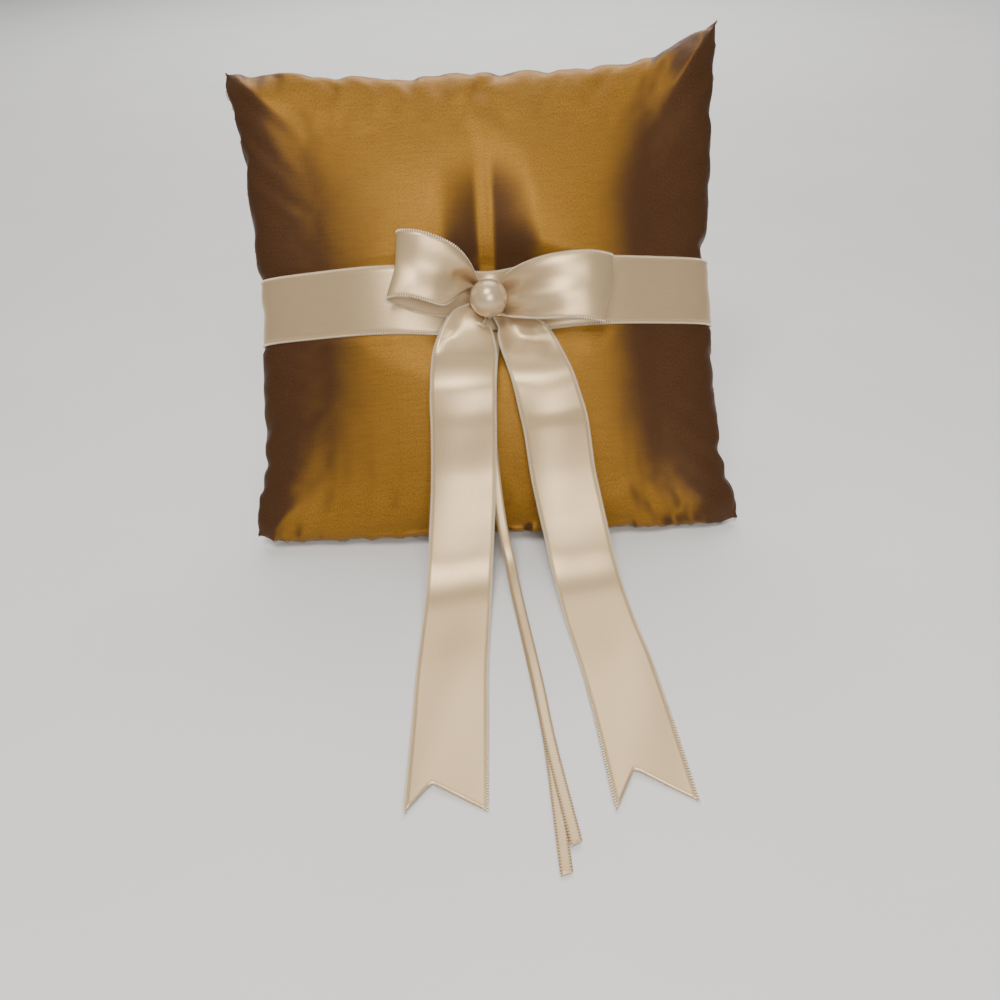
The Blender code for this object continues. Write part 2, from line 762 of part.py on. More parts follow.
def main():
    start_scene()
    taffeta = finish("gold_taffeta", (0.36, 0.21, 0.075), 0.42, 0.25)
    fill = finish("polyester_fill", (0.88, 0.87, 0.84), 0.95)
    satin = finish("ivory_satin", (0.62, 0.52, 0.38), 0.38)
    cotton = finish("brown_thread", (0.22, 0.13, 0.06), 0.7)
    cream_cotton = finish("cream_thread", (0.7, 0.62, 0.48), 0.7)
    nacre = finish("pearl_nacre", (0.82, 0.76, 0.65), 0.22)

    frame = leaning_frame()
    front = cover_panel("cover_front_panel", 1, taffeta)
    back = cover_panel("cover_back_panel", -1, taffeta)
    core = fibrefill_core(fill)
    seam_thread(cotton)
    closing_thread(cotton)
    band = waist_band(satin)
    band_stitches(cream_cotton)
    bow_loop("bow_loop_left", BOW_LEFT_REACH, BOW_LEFT_TILT_DEG, satin)
    bow_loop("bow_loop_right", BOW_RIGHT_REACH, BOW_RIGHT_TILT_DEG, satin)
    bow_gather(frame, satin)
    binding_thread(frame, cream_cotton)
    pearl_bead(frame, nacre)
    pearl_thread(frame, cream_cotton)
    bow_tail_left(satin)
    bow_tail_right(satin)
    long_ends = (0.0, 0.0035, 0.0, 0.0140, -0.1500)
    short_ends = (0.0005, 0.0022, 0.0008, 0.0175, -0.1420)
    ring_tie("ring_tie_long", "hinge_tie_long", long_ends, TIE_CLEARANCE, satin)
    ring_tie("ring_tie_short", "hinge_tie_short", short_ends, TIE_CLEARANCE + 0.0008, satin)
    needle_holes(frame, [front, back, core, band])


main()
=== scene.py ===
import json
import math
import random

import bmesh
import bpy
import numpy as np
from mathutils import Matrix, Vector
from mathutils.bvhtree import BVHTree


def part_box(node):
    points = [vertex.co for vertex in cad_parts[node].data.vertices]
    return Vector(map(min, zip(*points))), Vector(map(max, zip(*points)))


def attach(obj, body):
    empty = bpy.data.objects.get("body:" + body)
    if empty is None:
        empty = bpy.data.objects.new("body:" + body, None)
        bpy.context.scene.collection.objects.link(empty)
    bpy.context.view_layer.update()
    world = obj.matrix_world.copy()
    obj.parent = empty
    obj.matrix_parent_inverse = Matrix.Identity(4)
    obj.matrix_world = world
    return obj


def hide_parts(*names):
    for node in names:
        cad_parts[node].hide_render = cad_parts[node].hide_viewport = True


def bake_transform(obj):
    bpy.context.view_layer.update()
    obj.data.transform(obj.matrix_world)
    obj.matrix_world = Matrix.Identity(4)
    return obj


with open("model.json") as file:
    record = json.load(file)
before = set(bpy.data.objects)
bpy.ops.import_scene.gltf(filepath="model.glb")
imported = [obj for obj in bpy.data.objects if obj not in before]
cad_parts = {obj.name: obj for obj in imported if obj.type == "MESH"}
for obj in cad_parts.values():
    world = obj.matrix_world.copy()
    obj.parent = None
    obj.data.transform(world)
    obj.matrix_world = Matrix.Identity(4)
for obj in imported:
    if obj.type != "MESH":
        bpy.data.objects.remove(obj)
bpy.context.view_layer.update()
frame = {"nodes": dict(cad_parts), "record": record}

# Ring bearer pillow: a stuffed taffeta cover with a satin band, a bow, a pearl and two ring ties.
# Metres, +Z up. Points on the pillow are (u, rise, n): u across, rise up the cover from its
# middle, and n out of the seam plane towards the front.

MM = 0.001

# The frame: lean, middle and depths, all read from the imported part.
BACK_REST = next(m for m in frame["record"]["mounts"] if m["name"] == "back_rest")
NORMAL = -Vector(BACK_REST["axis"])
UP = Vector((0.0, NORMAL.z, -NORMAL.y))
ACROSS = Vector((1.0, 0.0, 0.0))
BEAD_LOW, BEAD_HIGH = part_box("pearl_bead")
BEAD = (BEAD_LOW + BEAD_HIGH) / 2
BEAD_RADIUS = (BEAD_HIGH.x - BEAD_LOW.x) / 2
SEAM_LOW, SEAM_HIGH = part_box("seam_thread")
SEAM_MIDDLE = (SEAM_LOW + SEAM_HIGH) / 2
BEAD_HEIGHT = (BEAD - SEAM_MIDDLE).dot(NORMAL)
MIDDLE = BEAD - NORMAL * BEAD_HEIGHT
BACK_DEPTH = -(Vector(BACK_REST["pos_m"]) - MIDDLE).dot(NORMAL)
GATHER_LOW, GATHER_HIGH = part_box("bow_gather")
GATHER = (GATHER_LOW + GATHER_HIGH) / 2

# Sizes that the frame doesn't hold.
HALF_WIDTH = 0.091  # middle of the cover to its pulled-in seams
HALF_HEIGHT = 0.091
CROWN = 0.027
PANEL = 0.203  # side of each flat cover panel between its seams
UV_STEP = 1.2  # from one panel's place in the UV map to the other's, in panel sides
RIGHT_SHARE = 0.965  # the cover's right half is this much narrower than its left
YARN_PITCH = 0.0005  # of the taffeta's weave
CELLS = 84  # cells across a panel
SIM_SCALE = 10.0  # the cloth is simulated at ten times its size
SIM_FRAMES = 24
RIBBON = 0.025
RIBBON_THICKNESS = 0.0003
RIBBON_EDGE = RIBBON / 2 - 0.0004  # the ribbon's half width inside its woven edges
TIE_WIDTH = 0.0035
PICOT_PITCH = 0.0009  # between the small loops along a ribbon's woven edges
PICOT_RADIUS = 0.00034
THREAD = 0.0002

collection = bpy.data.collections.new("ring_bearer_pillow_looks")
bpy.context.scene.collection.children.link(collection)


def place(u, rise, n):
    """World place of a pillow point."""
    return MIDDLE + ACROSS * u + UP * rise + NORMAL * n


def to_pillow(point):
    """The (u, rise, n) of a world point."""
    offset = point - MIDDLE
    return offset.x, offset.dot(UP), offset.dot(NORMAL)


def smoothstep(low, high, value):
    """0 below low, 1 above high and smooth between."""
    t = max(0.0, min(1.0, (value - low) / (high - low)))
    return t * t * (3 - 2 * t)


def new_object(name, data, *materials):
    """Link mesh or curve data as one piece."""
    item = bpy.data.objects.new(name, data)
    collection.objects.link(item)
    for material in materials:
        item.data.materials.append(material)
    return item


def mesh_data(name, points, faces):
    """Smooth mesh data from world points and faces."""
    mesh = bpy.data.meshes.new(name)
    mesh.from_pydata([tuple(p) for p in points], [], faces)
    mesh.shade_smooth()
    return mesh


def tree_of(item):
    """Ray tree of a piece or a CAD node."""
    mesh = item.data
    return BVHTree.FromPolygons([v.co for v in mesh.vertices], [p.vertices for p in mesh.polygons])


def settle(item, slot, *nodes):
    """Make a piece ride the pillow in place of the CAD nodes that it stands for; the slot is not used."""
    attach(item, "pillow")
    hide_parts(*nodes)


def finished(item):
    """Apply every modifier of an object."""
    bpy.context.view_layer.update()
    evaluated = item.evaluated_get(bpy.context.evaluated_depsgraph_get())
    mesh = bpy.data.meshes.new_from_object(evaluated)
    item.modifiers.clear()
    item.data = mesh
    return item


def catmull(points, per_span):
    """Points of a smooth curve through the given ones, so many to each span."""
    ends = [2 * points[0] - points[1]] + list(points) + [2 * points[-1] - points[-2]]
    fine = []
    for p0, p1, p2, p3 in zip(ends, ends[1:], ends[2:], ends[3:]):
        for k in range(per_span):
            t = k / per_span
            square = (2 * p0 - 5 * p1 + 4 * p2 - p3) * t**2
            cube = (3 * p1 - p0 - 3 * p2 + p3) * t**3
            fine.append((2 * p1 + (p2 - p0) * t + square + cube) * 0.5)
    fine.append(points[-1].copy())
    return fine


def resample(points, count):
    """Evenly spaced points along a line, whose places are the first three numbers of each."""
    steps = [(Vector(b[:3]) - Vector(a[:3])).length for a, b in zip(points, points[1:])]
    lengths = np.concatenate(([0.0], np.cumsum(steps)))
    table = np.array([list(p) for p in points])
    goals = np.linspace(0.0, lengths[-1], count + 1)
    columns = [np.interp(goals, lengths, table[:, k]) for k in range(table.shape[1])]
    return [Vector(row) for row in np.stack(columns, axis=1)]


def line_length(points):
    """Length of a line of points."""
    return sum((b - a).length for a, b in zip(points, points[1:]))


def direction(line, k):
    """Unit direction of a line at one of its points."""
    return (line[min(len(line) - 1, k + 1)] - line[max(0, k - 1)]).normalized()


# Camera.


def make_camera():
    """The camera, above and in front of the pillow, a little rolled."""
    data = bpy.data.cameras.new("camera")
    data.lens = 27.54
    data.sensor_width = 36.0
    camera = bpy.data.objects.new("camera", data)
    bpy.context.scene.collection.objects.link(camera)
    camera.location = (0.0007, -0.2486, 0.2085)
    turn = Matrix.Rotation(math.radians(51.7), 3, "X") @ Matrix.Rotation(math.radians(-2.7), 3, "Z")
    camera.rotation_euler = turn.to_euler()
    bpy.context.scene.camera = camera


make_camera()


# Materials.


class Finish:
    """A Principled material under construction."""

    def __init__(self, name, roughness, metallic=0.0):
        self.material = bpy.data.materials.new(name)
        self.material.use_nodes = True
        self.tree = self.material.node_tree
        self.shader = self.tree.nodes["Principled BSDF"]
        self.shader.inputs["Roughness"].default_value = roughness
        self.shader.inputs["Metallic"].default_value = metallic

    def set(self, **values):
        """Constants on the shader's own sockets."""
        for name, value in values.items():
            self.shader.inputs[name.replace("_", " ")].default_value = value
        return self

    def node(self, kind, **values):
        """A new node with its properties and input values."""
        made = self.tree.nodes.new(kind)
        for name, value in values.items():
            if hasattr(made, name):
                setattr(made, name, value)
            else:
                made.inputs[name.replace("_", " ")].default_value = value
        return made

    def link(self, output, socket):
        """Join two sockets."""
        self.tree.links.new(output, socket)

    def math(self, operation, a, b=None, c=None):
        """A math node's result; inputs are sockets or numbers."""
        made = self.tree.nodes.new("ShaderNodeMath")
        made.operation = operation
        for k, value in enumerate((a, b, c)):
            if value is None:
                continue
            if isinstance(value, (int, float)):
                made.inputs[k].default_value = value
            else:
                self.link(value, made.inputs[k])
        return made.outputs[0]

    def step(self, low, high, value):
        """A smooth step from 0 to 1 between two values."""
        made = self.tree.nodes.new("ShaderNodeMapRange")
        made.interpolation_type = "SMOOTHSTEP"
        made.inputs["From Min"].default_value = low
        made.inputs["From Max"].default_value = high
        self.link(value, made.inputs["Value"])
        return made.outputs["Result"]

    def mix(self, share, first, second):
        """A mix of two colours; each is a socket or a colour."""
        made = self.tree.nodes.new("ShaderNodeMix")
        made.data_type = "RGBA"
        self.link(share, made.inputs["Factor"])
        for socket, value in ((made.inputs[6], first), (made.inputs[7], second)):
            if isinstance(value, tuple):
                socket.default_value = (*value, 1.0)
            else:
                self.link(value, socket)
        return made.outputs[2]

    def paint(self, colour, rough=None):
        """Give the shader its colour, and its roughness where that varies."""
        self.link(colour, self.shader.inputs["Base Color"])
        if rough is not None:
            self.link(rough, self.shader.inputs["Roughness"])

    def own_place(self):
        """The piece's own coordinates."""
        return self.node("ShaderNodeTexCoord").outputs["Object"]

    def noise(self, vector, scale, detail=2.0, stretch=(1.0, 1.0, 1.0)):
        """Noise over a coordinate, finer across than along where it is stretched."""
        mapping = self.node("ShaderNodeMapping")
        mapping.inputs["Scale"].default_value = stretch
        self.link(vector, mapping.inputs["Vector"])
        made = self.node("ShaderNodeTexNoise")
        made.inputs["Scale"].default_value = scale
        made.inputs["Detail"].default_value = detail
        self.link(mapping.outputs[0], made.inputs["Vector"])
        return made.outputs["Fac"]

    def bump(self, height, strength, distance, after=None):
        """A bump, put on the shader and returned so that another can follow it."""
        made = self.node("ShaderNodeBump")
        made.inputs["Strength"].default_value = strength
        made.inputs["Distance"].default_value = distance
        self.link(height, made.inputs["Height"])
        if after is not None:
            self.link(after, made.inputs["Normal"])
        self.link(made.outputs[0], self.shader.inputs["Normal"])
        return made.outputs[0]

    def tangent(self):
        """Gloss stretched by the threads, whose direction the UV map holds."""
        made = self.node("ShaderNodeTangent", direction_type="UV_MAP", uv_map="threads")
        self.link(made.outputs[0], self.shader.inputs["Tangent"])

    def threads(self):
        """The flat cloth's own coordinates in metres."""
        made = self.node("ShaderNodeUVMap", uv_map="threads")
        split = self.node("ShaderNodeSeparateXYZ")
        self.link(made.outputs[0], split.inputs[0])
        return made.outputs[0], split.outputs[0], split.outputs[1]


def taffeta():
    """Shot taffeta: gold warp and brown weft, whose share in the colour turns with the fold; the brown is
    painted shade, laid on where the surface faces sideways and near the panel borders.
    """
    cloth = Finish("cover_taffeta", 0.45, 0.40)
    cloth.set(Anisotropic=0.35, Sheen_Weight=0.10, Sheen_Roughness=0.30, Specular_IOR_Level=0.12)
    cloth.set(Sheen_Tint=(0.80, 0.68, 0.64, 1.0))
    place_on, across, along = cloth.threads()
    # Painted shade: the world normal's sideways part, where the cloth turns away, makes the colour brown.
    facing = cloth.node("ShaderNodeNewGeometry")
    split = cloth.node("ShaderNodeSeparateXYZ")
    cloth.link(facing.outputs["Normal"], split.inputs[0])
    sideways = cloth.math("ABSOLUTE", cloth.math("SUBTRACT", split.outputs[0], 0.02))
    # Painted shade: the colour browns towards each panel's borders, where the cover rounds away.
    panels = cloth.math("FRACT", cloth.math("DIVIDE", across, UV_STEP * PANEL))
    panel_share = cloth.math("MULTIPLY", panels, UV_STEP)
    from_middle = cloth.math("ABSOLUTE", cloth.math("MULTIPLY_ADD", panel_share, 2.0, -0.92))
    border_shade = cloth.step(0.50, 0.96, from_middle)
    sideways = cloth.math("MULTIPLY_ADD", border_shade, 0.20, cloth.math("MULTIPLY", sideways, 0.72))
    drift = cloth.noise(place_on, 45.0, 3.0)
    grain = cloth.noise(place_on, 2400.0, 2.0, (1.0, 0.6, 1.0))
    slub = cloth.noise(place_on, 700.0, 2.0, (0.12, 1.0, 1.0))
    warp = cloth.noise(place_on, 900.0, 2.0, (1.0, 0.08, 1.0))
    turned_shade = cloth.math("MULTIPLY_ADD", drift, 0.08, sideways)
    turned_shade = cloth.math("MULTIPLY_ADD", grain, 0.20, turned_shade)
    # Share of brown: painted shade from the facing and the borders, plus random drift and grain.
    brown = cloth.step(0.25, 0.44, turned_shade)
    gold = cloth.mix(cloth.step(0.2, 0.8, grain), (0.125, 0.054, 0.005), (0.27, 0.130, 0.015))
    gold = cloth.mix(cloth.math("MULTIPLY", slub, 0.35), gold, (0.32, 0.165, 0.03))
    dark = cloth.mix(grain, (0.032, 0.013, 0.005), (0.100, 0.046, 0.019))
    colour = cloth.mix(brown, gold, dark)
    cloth.paint(colour, cloth.math("MULTIPLY_ADD", warp, 0.16, 0.38))
    over = cloth.math("SINE", cloth.math("MULTIPLY", across, 2 * math.pi / YARN_PITCH))
    under = cloth.math("SINE", cloth.math("MULTIPLY", along, 2 * math.pi / YARN_PITCH))
    weave = cloth.math("MULTIPLY", over, under)
    first = cloth.bump(weave, 0.25, 0.00005)
    second = cloth.bump(slub, 0.35, 0.00022, first)
    cloth.bump(warp, 0.25, 0.00015, second)
    cloth.tangent()
    return cloth.material


def times(colour, share):
    """A colour made lighter or darker."""
    return tuple(min(1.0, c * share) for c in colour)


def satin(name, face, width, dull=False):
    """Ribbon satin with long floats, and a raised woven edge with small loops along it, the loops
    lightened as painted highlight and the gaps between them darkened as painted shade.
    """
    cloth = Finish(name, 0.30, 0.15 if dull else 0.55)
    cloth.set(Anisotropic=0.2 if dull else 0.5, Specular_IOR_Level=0.25 if dull else 0.5)
    cloth.set(Sheen_Weight=0.12, Sheen_Roughness=0.4, Sheen_Tint=(0.95, 0.86, 0.76, 1.0))
    place_on, across, along = cloth.threads()
    float_run = cloth.noise(place_on, 2600.0, 2.0, (1.0, 0.06, 1.0))
    cloudy = cloth.noise(place_on, 130.0, 2.0, (1.0, 0.5, 1.0))
    fleck = cloth.noise(place_on, 1800.0, 1.0)
    colour = cloth.mix(float_run, times(face, 0.80), face)
    colour = cloth.mix(cloth.math("MULTIPLY", cloudy, 0.35), colour, times(face, 0.88))
    colour = cloth.mix(cloth.math("MULTIPLY", fleck, 0.3), colour, times(face, 1.15))
    from_edge = cloth.math("SUBTRACT", width / 2, cloth.math("ABSOLUTE", across))
    edge = cloth.math("SUBTRACT", 1.0, cloth.step(0.0005, 0.0009, from_edge))
    beat = cloth.math("SINE", cloth.math("MULTIPLY", along, 2 * math.pi / PICOT_PITCH))
    loops = cloth.math("MULTIPLY", cloth.step(-0.3, 0.5, beat), edge)
    between = cloth.math("SUBTRACT", edge, loops)
    # Painted shade between the loops of the edge, then a painted highlight on the loops.
    colour = cloth.mix(cloth.math("MULTIPLY", between, 0.6), colour, times(face, 0.35))
    colour = cloth.mix(cloth.math("MULTIPLY", loops, 0.8), colour, times(face, 1.3))
    rough = cloth.math("MULTIPLY_ADD", float_run, 0.14, 0.50 if dull else 0.31)
    cloth.paint(colour, cloth.math("MULTIPLY_ADD", edge, 0.25, rough))
    first = cloth.bump(float_run, 0.22, 0.00010)
    cloth.bump(loops, 0.6, 0.00025, first)
    cloth.tangent()
    return cloth.material


def spun_thread(name, light, dark):
    """Twisted cotton, mottled by noise between a lighter and a darker tone."""
    cotton = Finish(name, 0.72)
    cotton.set(Sheen_Weight=0.3, Sheen_Roughness=0.5)
    spot = cotton.own_place()
    fibres = cotton.noise(spot, 5200.0, 3.0)
    patches = cotton.noise(spot, 600.0, 1.0)
    mixed = cotton.math("MULTIPLY_ADD", patches, 0.4, cotton.math("MULTIPLY", fibres, 0.6))
    cotton.paint(cotton.mix(mixed, dark, light))
    cotton.bump(fibres, 0.5, 0.00008)
    return cotton.material


def nacre():
    """Imitation pearl: a cream body under a clear coat, with faint cloudy layers."""
    bead = Finish("pearl_nacre", 0.30, 0.35)
    bead.set(Coat_Weight=0.6, Coat_Roughness=0.16, Subsurface_Weight=0.10, Specular_IOR_Level=0.6)
    bead.set(Subsurface_Radius=(0.004, 0.003, 0.002), Subsurface_Scale=0.5)
    bead.set(Sheen_Weight=0.12, Sheen_Roughness=0.3, Sheen_Tint=(1.0, 0.88, 0.80, 1.0))
    spot = bead.own_place()
    cloudy = bead.noise(spot, 260.0, 3.0)
    layers = bead.noise(spot, 90.0, 2.0, (1.0, 1.0, 2.2))
    colour = bead.mix(cloudy, (0.42, 0.30, 0.16), (0.55, 0.41, 0.24))
    colour = bead.mix(bead.math("MULTIPLY", layers, 0.35), colour, (0.52, 0.36, 0.24))
    bead.paint(colour, bead.math("MULTIPLY_ADD", cloudy, 0.10, 0.26))
    bead.bump(cloudy, 0.05, 0.0001)
    return bead.material


def floor_finish():
    """A plain pale floor with a faint mottle."""
    ground = Finish("pale_floor", 0.75)
    mottle = ground.noise(ground.own_place(), 9.0, 3.0)
    ground.paint(ground.mix(mottle, (0.60, 0.595, 0.58), (0.66, 0.655, 0.64)))
    return ground.material


def selvedge():
    """Yarn of the small loops along a ribbon's edges, painted paler than its face as painted highlight,
    and dark between them as painted shade.
    """
    yarn = Finish("ribbon_selvedge", 0.6)
    yarn.set(Sheen_Weight=0.2, Sheen_Roughness=0.4)
    along = yarn.threads()[2]
    turn = yarn.math("MULTIPLY_ADD", along, 2 * math.pi / PICOT_PITCH, math.pi / 2)
    loops = yarn.step(-0.6, 0.4, yarn.math("SINE", turn))
    fibres = yarn.noise(yarn.own_place(), 4200.0, 2.0)
    colour = yarn.mix(fibres, (0.62, 0.50, 0.33), (0.88, 0.78, 0.60))
    # Painted shade between the loops.
    yarn.paint(yarn.mix(loops, (0.20, 0.13, 0.065), colour))
    yarn.bump(fibres, 0.4, 0.00006)
    return yarn.material


SATIN_COLOUR = (0.57, 0.41, 0.225)
taffeta_finish = taffeta()
ribbon_finish = satin("satin_ribbon", SATIN_COLOUR, RIBBON)
reverse_finish = satin("satin_ribbon_reverse", times(SATIN_COLOUR, 0.86), RIBBON, dull=True)
tie_finish = satin("tie_ribbon", times(SATIN_COLOUR, 0.95), TIE_WIDTH)
brown_finish = spun_thread("brown_thread", (0.30, 0.17, 0.07), (0.11, 0.055, 0.022))
cream_finish = spun_thread("cream_thread", (0.72, 0.62, 0.46), (0.42, 0.34, 0.24))
nacre_finish = nacre()
selvedge_finish = selvedge()


# Ribbons and threads.


def picots(edge):
    """A row of small loops along an edge, as one knobbly tube: its points, lengths and faces."""
    sides, share_of_pitch = 4, 4
    count = max(8, int(line_length(edge) / (PICOT_PITCH / share_of_pitch)))
    path = resample(edge, count)
    spots, reached, faces = [], [], []
    for k, point in enumerate(path):
        along = direction(path, k)
        first = along.cross(Vector((0.31, 0.54, 0.78))).normalized()
        second = along.cross(first)
        radius = PICOT_RADIUS * (1 + 0.80 * math.cos(2 * math.pi * k / share_of_pitch))
        for s in range(sides):
            angle = 2 * math.pi * s / sides
            spots.append(point + (first * math.cos(angle) + second * math.sin(angle)) * radius)
            reached.append(k * PICOT_PITCH / share_of_pitch)
        if k:
            low = (k - 1) * sides
            for s in range(sides):
                after = (s + 1) % sides
                faces.append((low + s, low + after, low + sides + after, low + sides + s))
    faces.append(list(range(sides))[::-1])
    faces.append([len(spots) - sides + s for s in range(sides)])
    return spots, reached, faces


def with_selvedges(item, edges):
    """Add the woven edges to a finished ribbon, in a material of their own."""
    item.data.materials.append(selvedge_finish)
    build = bmesh.new()
    build.from_mesh(item.data)
    layer = build.loops.layers.uv["threads"]
    for edge in edges:
        spots, reached, faces = picots(edge)
        made = [build.verts.new(p) for p in spots]
        for face in faces:
            side = build.faces.new([made[k] for k in face])
            side.material_index = len(item.data.materials) - 1
            side.smooth = True
            for loop, k in zip(side.loops, face):
                loop[layer].uv = (0.0, reached[k])
    build.to_mesh(item.data)
    build.free()
    return item


def strip(name, rows, uvs, *materials, thickness=RIBBON_THICKNESS, edged=True):
    """A thin ribbon from rows of world points, with its flat coordinates in metres as UVs."""
    width = len(rows[0])
    faces = []
    for r in range(len(rows) - 1):
        for c in range(width - 1):
            first = r * width + c
            faces.append((first, first + 1, first + width + 1, first + width))
    mesh = mesh_data(name, [p for row in rows for p in row], faces)
    layer = mesh.uv_layers.new(name="threads")
    flat = [uv for row in uvs for uv in row]
    for loop in mesh.loops:
        layer.data[loop.index].uv = flat[loop.vertex_index]
    item = new_object(name, mesh, *materials)
    solid = item.modifiers.new("thickness", "SOLIDIFY")
    solid.thickness = thickness
    solid.offset = 0.0
    if len(materials) > 1:
        solid.material_offset = 1
        solid.material_offset_rim = 0
    finished(item)
    if edged:
        with_selvedges(item, [[row[0] for row in rows], [row[-1] for row in rows]])
    return item


def side_of(line, k):
    """Unit vector to the right across a ribbon's line."""
    along = direction(line, k)
    return (ACROSS - along * along.x).normalized()


# The ring ties are cords, so they come first.


def ring_tie(name, route):
    """A narrow ribbon that leaves the knot, hangs over the cover and lies out on the floor."""
    line = resample(catmull(route, 12), 150)
    rows, uvs = [], []
    shares = (-1.0, -0.6, 0.0, 0.6, 1.0)
    total = line_length(line)
    for k, point in enumerate(line):
        far = total * k / (len(line) - 1)
        sideways = side_of(line, k)
        face = sideways.cross(direction(line, k)) * -1
        row = []
        for share in shares:
            crown = 0.00016 * (1 - share * share)
            cut = 0.0009 * (share + 1) / 2 if k == len(line) - 1 else 0.0
            spot = point + sideways * (share * TIE_WIDTH / 2) + face * crown
            row.append(spot - direction(line, k) * cut)
        rows.append(row)
        uvs.append([(share * TIE_WIDTH / 2, far) for share in shares])
    tie = strip(name + "_satin", rows, uvs, tie_finish, edged=False)
    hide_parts(name)
    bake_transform(tie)


def points(*triples):
    """A list of vectors."""
    return [Vector(t) for t in triples]


LONG_ROUTE = points(
    (0.0020, 0.0263, 0.0754), (0.0010, 0.0189, 0.0715), (0.0000, 0.0107, 0.0675),
    (-0.0010, 0.0045, 0.0621), (-0.0015, -0.0001, 0.0555), (-0.0015, -0.0040, 0.0415),
    (-0.0005, -0.0125, 0.0270), (0.0010, -0.0205, 0.0150), (0.0030, -0.0295, 0.0065),
    (0.0050, -0.0450, 0.0020), (0.0070, -0.0600, 0.0006), (0.0100, -0.0850, 0.0006),
    (0.0125, -0.1100, 0.0006), (0.0140, -0.1500, 0.0006),
)
SHORT_ROUTE = points(
    (0.0025, 0.0256, 0.0759), (0.0015, 0.0182, 0.0720), (0.0005, 0.0100, 0.0679),
    (-0.0005, 0.0038, 0.0625), (-0.0010, -0.0007, 0.0559), (-0.0010, -0.0053, 0.0415),
    (0.0000, -0.0138, 0.0270), (0.0015, -0.0218, 0.0150), (0.0035, -0.0308, 0.0073),
    (0.0055, -0.0450, 0.0028), (0.0075, -0.0600, 0.0014), (0.0105, -0.0850, 0.0014),
    (0.0130, -0.1100, 0.0014), (0.0175, -0.1420, 0.0014),
)
ring_tie("ring_tie_long", LONG_ROUTE)
ring_tie("ring_tie_short", SHORT_ROUTE)


# The cover: two panels sewn together, filled by a cloth simulation.


def panel_grid():
    """Vertex numbers of both panels, which share their edges, and each one's sheet position."""
    number, sheet = {}, []
    for side in (1, -1):
        for i in range(CELLS + 1):
            for j in range(CELLS + 1):
                edge = i in (0, CELLS) or j in (0, CELLS)
                if side < 0 and edge:
                    number[side, i, j] = number[1, i, j]
                    continue
                number[side, i, j] = len(sheet)
                sheet.append((2 * i / CELLS - 1, 2 * j / CELLS - 1, side, edge))
    return number, sheet


def panel_faces(number):
    """Faces of both panels, pointing out."""
    faces = []
    for side in (1, -1):
        for i in range(CELLS):
            for j in range(CELLS):
                corners = ((i, j), (i + 1, j), (i + 1, j + 1), (i, j + 1))
                face = [number[side, a, b] for a, b in corners]
                faces.append(face if side > 0 else face[::-1])
    return faces


def filled_start(sheet):
    """A slack lens with the centre stitch pulled in and a few uneven lumps of filling."""
    draw = random.Random(5).uniform
    lumps = [[draw(-1, 1), draw(-1, 1), draw(0.15, 0.4), draw(-1, 1)] for _ in range(26)]
    start = []
    for a, b, side, _ in sheet:
        swell = math.sqrt(max(0.0, (1 - a * a) * (1 - b * b)))
        lump = sum(k * math.exp(-((a - x) ** 2 + (b - y) ** 2) / w**2) for x, y, w, k in lumps)
        height = side * swell * (0.016 + 0.0012 * lump)
        u, rise = a * PANEL / 2, b * PANEL / 2
        tuft = math.exp(-(u * u + rise * rise) / 0.018**2)
        start.append((u, rise, height * (1 - tuft) + side * 0.010 * tuft))
    return np.array(start)


def simulated(number, sheet, faces):
    """Fill the cover: pressure swells the flat panels, whose seams pull in and pucker."""
    start = filled_start(sheet)
    mesh = mesh_data("cover_cloth", start * SIM_SCALE, faces)
    item = bpy.data.objects.new("cover_cloth", mesh)
    bpy.context.scene.collection.objects.link(item)
    item.shape_key_add(name="Basis")
    flat = item.shape_key_add(name="flat")
    half = PANEL / 2 * SIM_SCALE
    lay = [(a * half, b * half, 0.0 if edge else side * 0.002) for a, b, side, edge in sheet]
    flat.data.foreach_set("co", np.array(lay, float).ravel())
    pins = item.vertex_groups.new(name="pins")
    centre = CELLS // 2
    stitch = round(0.008 / (PANEL / CELLS))
    held = []
    for side in (1, -1):
        for i in range(centre - 1, centre + 2):
            held += [number[side, i, centre + step] for step in (-stitch, 0, stitch)]
    pins.add(held, 1.0, "REPLACE")
    cloth = item.modifiers.new("cloth", "CLOTH")
    settings = cloth.settings
    settings.quality = 6
    settings.mass = 0.05
    settings.tension_stiffness = 60
    settings.compression_stiffness = 60
    settings.shear_stiffness = 12
    settings.bending_stiffness = 0.05
    settings.tension_damping = settings.compression_damping = settings.shear_damping = 5
    settings.bending_damping = 0.5
    settings.air_damping = 4.0
    settings.use_pressure = True
    settings.uniform_pressure_force = 0.0
    settings.use_pressure_volume = True
    settings.target_volume = 1.3
    settings.pressure_factor = 20.0
    settings.rest_shape_key = flat
    settings.vertex_group_mass = "pins"
    settings.effector_weights.gravity = 0.0
    cloth.collision_settings.use_collision = False
    cloth.point_cache.frame_start = 1
    cloth.point_cache.frame_end = SIM_FRAMES
    for step in range(1, SIM_FRAMES + 1):
        bpy.context.scene.frame_set(step)
    evaluated = item.evaluated_get(bpy.context.evaluated_depsgraph_get())
    shape = np.zeros(len(sheet) * 3)
    evaluated.data.vertices.foreach_get("co", shape)
    bpy.data.objects.remove(item)
    bpy.context.scene.frame_set(1)
    return shape.reshape(-1, 3) / SIM_SCALE


def even_shape(sheet):
    """The same pillow by formula, evenly stuffed and without a wrinkle."""
    shape = []
    for a, b, side, _ in sheet:
        swell = max(0.0, 1 - a * a) ** 0.72 * max(0.0, 1 - b * b) ** 0.55
        u = a * (HALF_WIDTH + 0.009 * b * b)
        rise = b * (HALF_HEIGHT + 0.009 * a * a)
        tuft = 0.0145 * math.exp(-(u * u + rise * rise) / 0.020**2)
        shape.append((u, rise, side * (CROWN * swell - tuft * min(1.0, 4 * swell))))
    return np.array(shape)


def smooth_steps(low, high, values):
    """Smoothstep over an array."""
    t = np.clip((values - low) / (high - low), 0.0, 1.0)
    return t * t * (3 - 2 * t)


